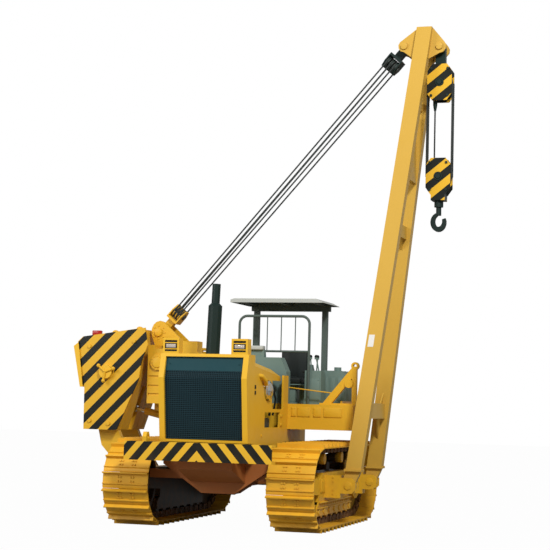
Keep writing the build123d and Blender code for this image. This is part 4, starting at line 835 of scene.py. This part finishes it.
bm = bmesh.new()
for edge in (-1, 1):
    for z, rise in ((1690.0, -330.0), (1930.0, 170.0), (4560.0, -170.0)):
        inner = leg_spread(z) - 91
        x = leg_middle(z) - 12
        tip = (x + rise * leg_run, inner - rise * gusset_lean, z + rise)
        corners = ((x, inner, z), (x, inner - abs(rise) * 0.8, z), tip)
        plate(bm, [(cx, boom_y + edge * cy, cz) for cx, cy, cz in corners], (0, 0, 0), (24, 0, 0))
    foot = boom_y + edge * foot_spread
    flange = [(leg_middle(900) + dx, foot + dy, 914.0) for dx in (-133, 133) for dy in (-60, 60)]
    bolts(bm, flange, (0, 0, 1), 12, 10)
for pin in ((luff_pin.x, luff_pin.z), hoist_pin):
    keeper_pair(bm, pin, boom_y, cheek_reach, 58)
finished(bm, "boom_gussets", boom_enamel, "boom")
bm = bmesh.new()
corners = ((2036.0, 2980.0), (2126.0, 2980.0), (2103.0, 2793.0), (2013.0, 2793.0))
plate(bm, [(x, boom_y - leg_spread(z) - 89, z) for x, z in corners], (0, 0, 0), (0, -4, 0))
label_white = painted("anodised_plate_white", "e6e4de", "d9d6cf", 0.5, 0.05)
finished(bm, "boom_plate_blank", label_white, "boom")


# Cross-beam covers.
# Pressed covers over the beam's service openings, each on four bolts, and the thin rod that
# runs from the cowl to the boom stop.
cover_y = -164.0
bm = bmesh.new()
for x0, x1 in ((700, 780), (800, 1010), (1060, 1190), (1230, 1520)):
    slab(bm, (x0, cover_y, 1690), (x1, cover_y + 15, 1838), 6)
    corners = [(x, cover_y, z) for x in (x0 + 18, x1 - 18) for z in (1708, 1820)]
    bolts(bm, corners, (0, -1, 0), 9, 7)
slab(bm, (432, -158, 1500), (640, -139, 1560), 5)
round_bar(bm, (598, 45, 2150), (1420, 62, 2062), 9, 8)
finished(bm, "beam_covers", yellow, "machine")


# Engine side gear.
# Filters, manifold and hoses on the engine's flanks, seen through the side plates' windows,
# in engine grey with black rubber hoses.
filter_shape = ((0, 0), (0, 50), (200, 50), (215, 40), (215, 22), (250, 22), (250, 0))
pump_shape = ((0, 0), (0, 80), (120, 80), (140, 60), (140, 0))
long_hose = ((450, -980, 2090), (540, -930, 2060), (545, -800, 1900), (500, -700, 1700))
short_hose = ((430, -650, 2095), (520, -560, 2080), (530, -480, 1950), (480, -450, 1700))
for name, side in sides:
    bm = bmesh.new()
    for y in (-950, -800, -650):
        turned(bm, filter_shape, (side * 430, y, 1850), (0, 0, 1), 20)
    round_bar(bm, (side * 380, -2000, 2150), (side * 380, -450, 2150), 42, 16)
    near, far = sorted((side * 320, side * 430))
    for y in (-1900, -1600, -1000, -700, -500):
        slab(bm, (near, y - 35, 2090), (far, y + 35, 2200), 8)
    near, far = sorted((side * 329, side * 520))
    slab(bm, (near, -1350, 1500), (far, -760, 1660), 15)
    turned(bm, pump_shape, (side * 380, -1050, 1660), (0, 0, 1), 20)
    finished(bm, name + "_engine_gear", engine_grey, "machine")
    bm = bmesh.new()
    for points, radius in ((long_hose, 20), (short_hose, 16)):
        hose(bm, [(side * x, y, z) for x, y, z in points], radius)
    finished(bm, name + "_engine_hoses", rubber, "machine")


# Side plate fittings.
# Quarter-turn latches, hinge straps and rim bolts of the engine side plates, and the
# painted elbow that leads into the polished intake.
panel_face = 640.0
bm = bmesh.new()
for side in (-1, 1):
    face = side * panel_face
    out = (side, 0, 0)
    bolts(bm, [(face, -2040 + 300 * n, 1200) for n in range(7)], out, 12, 9)
    bolts(bm, [(face, -2050, z) for z in (1400, 1650, 1900, 2150, 2380)], out, 12, 9)
    near, far = sorted((face, face + side * 16))
    for z in (1560, 1700):
        slab(bm, (near, -590, z - 20), (far, -480, z + 20), 4)
    turned(bm, [(0, 0), (0, 24), (10, 24), (10, 0)], (face, -1560, 1400), out, 16)
hose(bm, [(600, -1760, 2300), (665, -1690, 2290), (690, -1590, 2230), (672, -1500, 2170)], 32, 14)
turned(bm, [(0, 0), (0, 46), (24, 46), (24, 0)], (panel_face, -1640, 2268), (1, 0, 0), 20)
finished(bm, "side_plate_fittings", yellow, "machine")
bm = bmesh.new()
for z in (2010, 2095):
    slab(bm, (panel_face - 2, -2000, z), (panel_face + 14, -1930, z + 55), 5)
finished(bm, "side_plate_latches", rubber, "machine")


# Winch drive.
# The winches' gear train: a bolted round cover and hydraulic motor in front, a dark cast
# gearbox under the winch floor, and the hoses that feed them.
upper_gear = Vector((-1480.0, -430.0, 2500.0))
lower_gear = Vector((-1010.0, -400.0, 2230.0))
brake = Vector((-900.0, 230.0, 1600.0))
upper_shape = ((-1, 0), (-1, 128), (10, 124), (10, 88), (30, 80), (34, 40), (34, 0))
lower_shape = ((-1, 0), (-1, 175), (16, 170), (16, 120), (70, 105), (76, 60), (76, 0))
brake_shape = ((0, 0), (0, 190), (30, 180), (30, 120), (70, 110), (70, 0))


def bolted_cover(bm, shape, centre, ring, step, radius, height):
    """A turned cover that faces forward, with twelve bolts round it."""
    turned(bm, shape, centre, (0, -1, 0), 36)
    places = [centre + Vector((dx, -step, dz)) for dx, dz in around(12, ring)]
    bolts(bm, places, (0, -1, 0), radius, height)


bm = bmesh.new()
bolted_cover(bm, upper_shape, upper_gear, 106, 10, 11, 9)
bolted_cover(bm, lower_shape, lower_gear, 150, 16, 12, 10)
for z in (1930, 2060):
    slab(bm, (-1390, -430, z), (-1180, -399, z + 80), 8)
for x in (-1100, -900):
    slab(bm, (x, 0, 2719), (x + 60, 560, 2760), 8)
finished(bm, "winch_covers", yellow, "machine")
bm = bmesh.new()
slab(bm, (-1570, brake.y, 1345), (-640, 590, 1838), 30)
bolted_cover(bm, brake_shape, brake, 152, 30, 12, 10)
turned(bm, [(0, 0), (0, 90), (80, 80), (80, 0)], (-1080, brake.y, 1430), (0, -1, 0), 24)
finished(bm, "winch_gearbox", engine_grey, "machine")
bm = bmesh.new()
bends = ((0, -430, 2060), (20, -470, 1960), (60, -440, 1780), (160, -300, 1600), (220, -180, 1350))
for x, drop in ((-1080, 0), (-980, 30), (-880, 60)):
    points = [(x + dx, y, z - drop if z > 1900 else z) for dx, y, z in bends]
    hose(bm, points, 19)
hose(bm, [(-1300, -420, 1950), (-1250, -460, 1840), (-1060, -420, 1640), (-700, -250, 1450)], 19)
finished(bm, "winch_hoses", rubber, "machine")
# Plates that close the gaps between the main frame and the tracks. Lying inwards of the tracks,
# their whole face takes the painted shade's dark brown.
bm = bmesh.new()
for side in (-1, 1):
    near, far = sorted((side * 430, side * 905))
    for y in (-262, 690):
        slab(bm, (near, y, 700), (far, y + 12, 1290), 3)
finished(bm, "inner_shaded_plates", running_gear, "machine")


# Counterweight fittings.
# A screwed clamp with its handwheel hub, four tie-rod nuts, two lifting eyes and a red
# reflector on top.
weight_face = -590.0
top_corner = Vector((-2722.0, 0.0, 2897.0))
top_rise = 0.149
bm = bmesh.new()
hub = Vector((-2290.0, weight_face, 2330.0))
clamp = ((-1, 0), (-1, 128), (14, 120), (18, 70), (60, 62), (66, 44), (66, 0))
turned(bm, clamp, hub, (0, -1, 0), 32)
hub += Vector((0, -78, 0))
for angle in (20, 140, 260):
    turn = math.radians(angle)
    knob = hub + Vector((math.cos(turn), 0, math.sin(turn))) * 150
    round_bar(bm, hub, knob, 20, 10)
    ball(bm, knob, 32, 12, 8)
nuts = ((-2560, 1540), (-2230, 1500), (-2600, 2740), (-1830, 2830))
bolts(bm, [(x, weight_face, z) for x, z in nuts], (0, -1, 0), 30, 26)
for x in (-2480, -2050):
    z = top_corner.z + (x - top_corner.x) * top_rise
    eye = ((-14, 26), (-14, 62), (14, 62), (14, 26), (-14, 26))
    turned(bm, eye, (x, 200, z + 48), (0, 1, 0), 24)
    slab(bm, (x - 50, 180, z - 6), (x + 50, 220, z + 8), 4)
finished(bm, "counterweight_fittings", yellow, "weight")
bm = bmesh.new()
slab(bm, (-2600, -520, 2906), (-2440, -450, 3000), 14)
red_glass = painted("red_reflector", "b3261c", "8f1a14", 0.2, 0.05)
finished(bm, "counterweight_reflector", red_glass, "weight")


# Sheaves.
# Cast steel sheaves with a turned groove, on greased pins between the blocks' cheeks. The
# axle nuts and cheek bolts stand on the outside.
sheave_steel = painted("cast_steel_greased", "3a3f3b", "2a2e2b", 0.4, 0.1)


def sheave(bm, centre, way, radius):
    """A grooved wheel on an axis."""
    rim = radius + 3
    near = [(-23, 0), (-23, 60), (-16, 64), (-16, rim - 28)]
    near += [(-23, rim - 22), (-23, rim), (-10, rim)]
    far = [(-along, reach) for along, reach in reversed(near)]
    turned(bm, near + [(0, rim - 16)] + far, centre, way, 40)


for name, centre, lane, body in (
    ("lower_luffing_sheaves", low_centre, low_lane, "tower_block"),
    ("upper_luffing_sheaves", high_centre, high_lane, "head_block"),
):
    bm = bmesh.new()
    for number in (-1, 0, 1):
        sheave(bm, centre + luff_up * lane * number, luff_up, luff_sheave)
    for edge in (-1, 1):
        end = centre + luff_up * edge * (lane + 50)
        turned(bm, [(0, 0), (0, 52), (14, 48), (14, 0)], end, luff_up * edge, 20)
    finished(bm, name, sheave_steel, body)
for name, z, body in (
    ("upper_hoist", hoist_top, "hoist_head"),
    ("hook_block", hook_block_z, "hook_body"),
):
    bm = bmesh.new()
    for number in (-1, 0, 1):
        sheave(bm, (hoist_x, boom_y + hoist_lane * number, z), (0, 1, 0), sheave_radius)
    finished(bm, name + "_sheaves", sheave_steel, body)
    bm = bmesh.new()
    for edge in (-1, 1):
        face = boom_y + edge * 124
        nut = [(-1, 0), (-1, 70), (12, 66), (12, 44), (26, 40), (26, 0)]
        turned(bm, nut, (hoist_x, face, z), (0, edge, 0), 28)
        corners = [(dx, dz) for dx in (-130, 130) for dz in (-215, 215)]
        bolts(bm, [(hoist_x + dx, face, z + dz) for dx, dz in corners], (0, edge, 0), 22, 20)
    finished(bm, name + "_axle_nuts", dark_green, body)
bm = bmesh.new()
x = hoist_x + becket_edge * (sheave_radius + rope_radius)
socket = ((0, 0), (0, 34), (60, 34), (150, 19), (150, 0))
turned(bm, socket, (x, boom_y, hoist_top - 288), (0, 0, -1), 20)
finished(bm, "becket_socket", dark_green, "hoist_head")


# Canopy.
# A tray of folded sheet on two box posts at the rear: light grey outside, black-green
# underneath and on the posts.
canopy_x0, canopy_x1 = -510.0, 1070.0
canopy_y0, canopy_y1 = 300.0, 1380.0
canopy_low, canopy_top = 3528.0, 3590.0
canopy_slope = 130.0
skin = 3.0
bm = bmesh.new()
outline = (
    (canopy_x0, canopy_low),
    (canopy_x0, canopy_top - 20),
    (canopy_x0 + canopy_slope / 2, canopy_top),
    (canopy_x1 - canopy_slope, canopy_top),
    (canopy_x1, canopy_low),
)
plate(bm, [(x, canopy_y0 - 1, z) for x, z in outline], (0, 0, 0), (0, canopy_y1 - canopy_y0 + 2, 0))
bmesh.ops.recalc_face_normals(bm, faces=bm.faces)
under = [f for f in bm.faces if f.normal.z < -0.9]
bmesh.ops.delete(bm, geom=under, context="FACES_ONLY")
bmesh.ops.solidify(bm, geom=bm.faces[:], thickness=-skin)
finished(bm, "canopy_skin", roof_grey, "machine")


# Polished intake and rod.
# The pre-cleaner's ring and domed cover are chromed pressed steel, and the ram's rod is
# hard-chromed.
chrome, tree, shader, where = fresh("hard_chrome")
shader.inputs["Metallic"].default_value = 1.0
shader.inputs["Base Color"].default_value = linear("d6d9da")
haze = put(tree, "TexNoise", {"Vector": where, "Scale": 25.0, "Detail": 3.0})
rough = mapped(tree, haze.outputs["Fac"], 0.0, 1.0, 0.08, 0.22)
tree.links.new(rough, shader.inputs["Roughness"])
dress(chrome, "air_intake", "cylinder_rod")
bm = bmesh.new()
dome = [(0, 0), (0, 148), (10, 152), (20, 146), (24, 120), (44, 100), (60, 66), (68, 30), (70, 0)]
turned(bm, dome, (656, -1300, 2080), (1, 0, 0), 40)
finished(bm, "intake_cover", chrome, "machine")


# Operator's seat.
# Foam cushions under black vinyl with piped edges, on a folded steel frame and pedestal.
cushion_round = 34.0
cushion_crown = 26.0
vinyl = painted("black_vinyl", "1f2624", "171d1b", 0.55, 0.1)


def cushion(bm, low, high, way, crown):
    """A padded block, rounded at its edges and crowned along way."""
    low, high = Vector(low), Vector(high)
    matrix = Matrix.LocRotScale((low + high) / 2, None, high - low)
    bmesh.ops.create_cube(bm, size=1.0, matrix=matrix)
    ease(bm, bm.edges[:], cushion_round, 4)
    bmesh.ops.subdivide_edges(bm, edges=bm.edges[:], cuts=2, use_grid_fill=True)
    way = Vector(way)
    middle, half = (low + high) / 2, (high - low) / 2
    for vert in bm.verts:
        part = vert.co - middle
        if part.dot(way) <= 0:
            continue
        spread = [max(0.0, 1 - (part[n] / half[n]) ** 2) for n in range(3) if abs(way[n]) < 0.5]
        vert.co += way * crown * spread[0] * spread[1]


for name, low, high, way in (
    ("seat_cushion", (160, 570, 2215), (640, 1040, 2322), (0, 0, 1)),
    ("seat_back", (175, 1015, 2260), (625, 1110, 2770), (0, -1, 0)),
    ("left_arm_pad", (642, 640, 2400), (688, 1060, 2438), (0, 0, 1)),
    ("right_arm_pad", (112, 640, 2400), (158, 1060, 2438), (0, 0, 1)),
):
    bm = bmesh.new()
    if "arm" in name:
        slab(bm, low, high, 15)
    else:
        cushion(bm, low, high, way, cushion_crown)
    finished(bm, name, vinyl, "machine", ["operator_seat"])
bm = bmesh.new()
slab(bm, (150, 580, 2196), (650, 1100, 2214), 5)
back = ((170, 1112, 2230), (170, 1126, 2720), (630, 1126, 2720), (630, 1112, 2230))
plate(bm, back, (0, 0, 0), (0, 12, 0))
slab(bm, (230, 640, 1890), (570, 980, 1915), 4)
slab(bm, (270, 680, 1914), (530, 940, 2197), 20)
for x in (140, 650):
    slab(bm, (x, 1000, 2200), (x + 10, 1060, 2402), 3)
finished(bm, "seat_frame", grey_green, "machine", ["operator_seat"])


# Operator's controls.
# Black phenolic knobs on the levers, a gauge panel on the cowl with round instruments, and
# pressed ribs on the tank and console lids.
bm = bmesh.new()
for x, y in ((875, 292), (970, 292), (970, 382)):
    ball(bm, (x, y, 2655), 30, 16, 10)
for x in (-120, -40, 40, 120):
    round_bar(bm, (x, -14, 2675), (x, 22, 2668), 26, 20)
finished(bm, "lever_knobs", rubber, "machine")
bm = bmesh.new()
for x in (1010, 1130, 1250):
    slab(bm, (x, 592, 1960), (x + 80, 601, 2330), 4)
slab(bm, (1388, 700, 1960), (1396, 1180, 2300), 4)
for y in (700, 960, 1180):
    slab(bm, (985, y, 2438), (1300, y + 30, 2446), 3)
slab(bm, (820, 232, 1950), (1050, 241, 2300), 4)
bolts(bm, [(x, 232, z) for x in (840, 1030) for z in (1970, 2280)], (0, -1, 0), 9, 7)
for x in (-520, -200, 140, 460):
    slab(bm, (x, 1326, 1960), (x + 60, 1331, 2480), 2)
    slab(bm, (x, 1749, 1960), (x + 60, 1754, 2440), 2)
for z in (2000, 2200):
    slab(bm, (-560, 88, z), (560, 96, z + 30), 3)
finished(bm, "tank_and_console_ribs", grey_green, "machine")
bm = bmesh.new()
slab(bm, (-184, -200, 2738), (214, -44, 2802), 12)
finished(bm, "gauge_hood", roof_grey, "machine")


# Floor, light and camera.
# A plain pale floor under soft studio light, seen from where the picture was taken.
floor_reach = 60.0
floor_white = 0.98
sky_light = 0.42
lights_aim = Vector((0.0, 0.0, 3.0))
camera_place = Vector((7.3482, -23.8, 1.8763))
yaw, pitch, roll = 0.2887, 0.0834, 0.0253
bm = bmesh.new()
bmesh.ops.create_grid(bm, x_segments=1, y_segments=1, size=floor_reach)
mesh = bpy.data.meshes.new("floor")
bm.to_mesh(mesh)
bm.free()
floor = bpy.data.objects.new("floor", mesh)
bpy.context.scene.collection.objects.link(floor)
material = bpy.data.materials.new("pale_floor")
material.use_nodes = True
tree = material.node_tree
shader = tree.nodes["Principled BSDF"]
shader.inputs["Base Color"].default_value = linear("8f8f8d")
shader.inputs["Roughness"].default_value = 0.9
seen = put(tree, "LightPath")
part = maths(tree, "MULTIPLY", seen.outputs["Is Camera Ray"], floor_white)
white = put(tree, "Emission", {"Color": (1, 1, 1, 1), "Strength": 1.0})
mix = put(tree, "MixShader", {0: part, 1: shader.outputs[0], 2: white.outputs[0]})
tree.links.new(mix.outputs[0], tree.nodes["Material Output"].inputs["Surface"])
mesh.materials.append(material)

world = bpy.data.worlds.new("studio")
bpy.context.scene.world = world
world.use_nodes = True
tree = world.node_tree
sky = tree.nodes["Background"]
sky.inputs["Color"].default_value = (1.0, 1.0, 1.0, 1.0)
seen = put(tree, "LightPath")
direct = maths(tree, "MAXIMUM", seen.outputs["Is Camera Ray"], seen.outputs["Is Transmission Ray"])
tree.links.new(mapped(tree, direct, 0.0, 1.0, sky_light, 1.0), sky.inputs["Strength"])

for name, place, size, power in (
    ("key_light", (9.0, -14.0, 14.0), 2.5, 2700.0),
    ("fill_light", (-11.0, -13.0, 9.0), 8.0, 1300.0),
):
    lamp = bpy.data.lights.new(name, "AREA")
    lamp.size = size
    lamp.energy = power
    holder = bpy.data.objects.new(name, lamp)
    holder.location = place
    turn = (lights_aim - Vector(place)).to_track_quat("-Z", "Y")
    holder.rotation_euler = turn.to_euler()
    bpy.context.scene.collection.objects.link(holder)

right = Vector((math.cos(yaw), math.sin(yaw), 0.0))
level = Vector((-math.sin(yaw), math.cos(yaw), 0.0))
ahead = level * math.cos(pitch) + Vector((0.0, 0.0, math.sin(pitch)))
above = right.cross(ahead)
across = right * math.cos(roll) + above * math.sin(roll)
upward = above * math.cos(roll) - right * math.sin(roll)
lens = bpy.data.cameras.new("camera")
lens.sensor_width = 36.0
lens.lens = 101.06
lens.shift_x = 0.00525
lens.clip_end = 200.0
camera = bpy.data.objects.new("camera", lens)
turn = Matrix((across, upward, -ahead)).transposed().to_4x4()
camera.matrix_world = Matrix.Translation(camera_place + shift) @ turn
bpy.context.scene.collection.objects.link(camera)
bpy.context.scene.camera = camera
bpy.context.scene.view_settings.view_transform = "Standard"


# Last update of the scene.
bpy.context.view_layer.update()
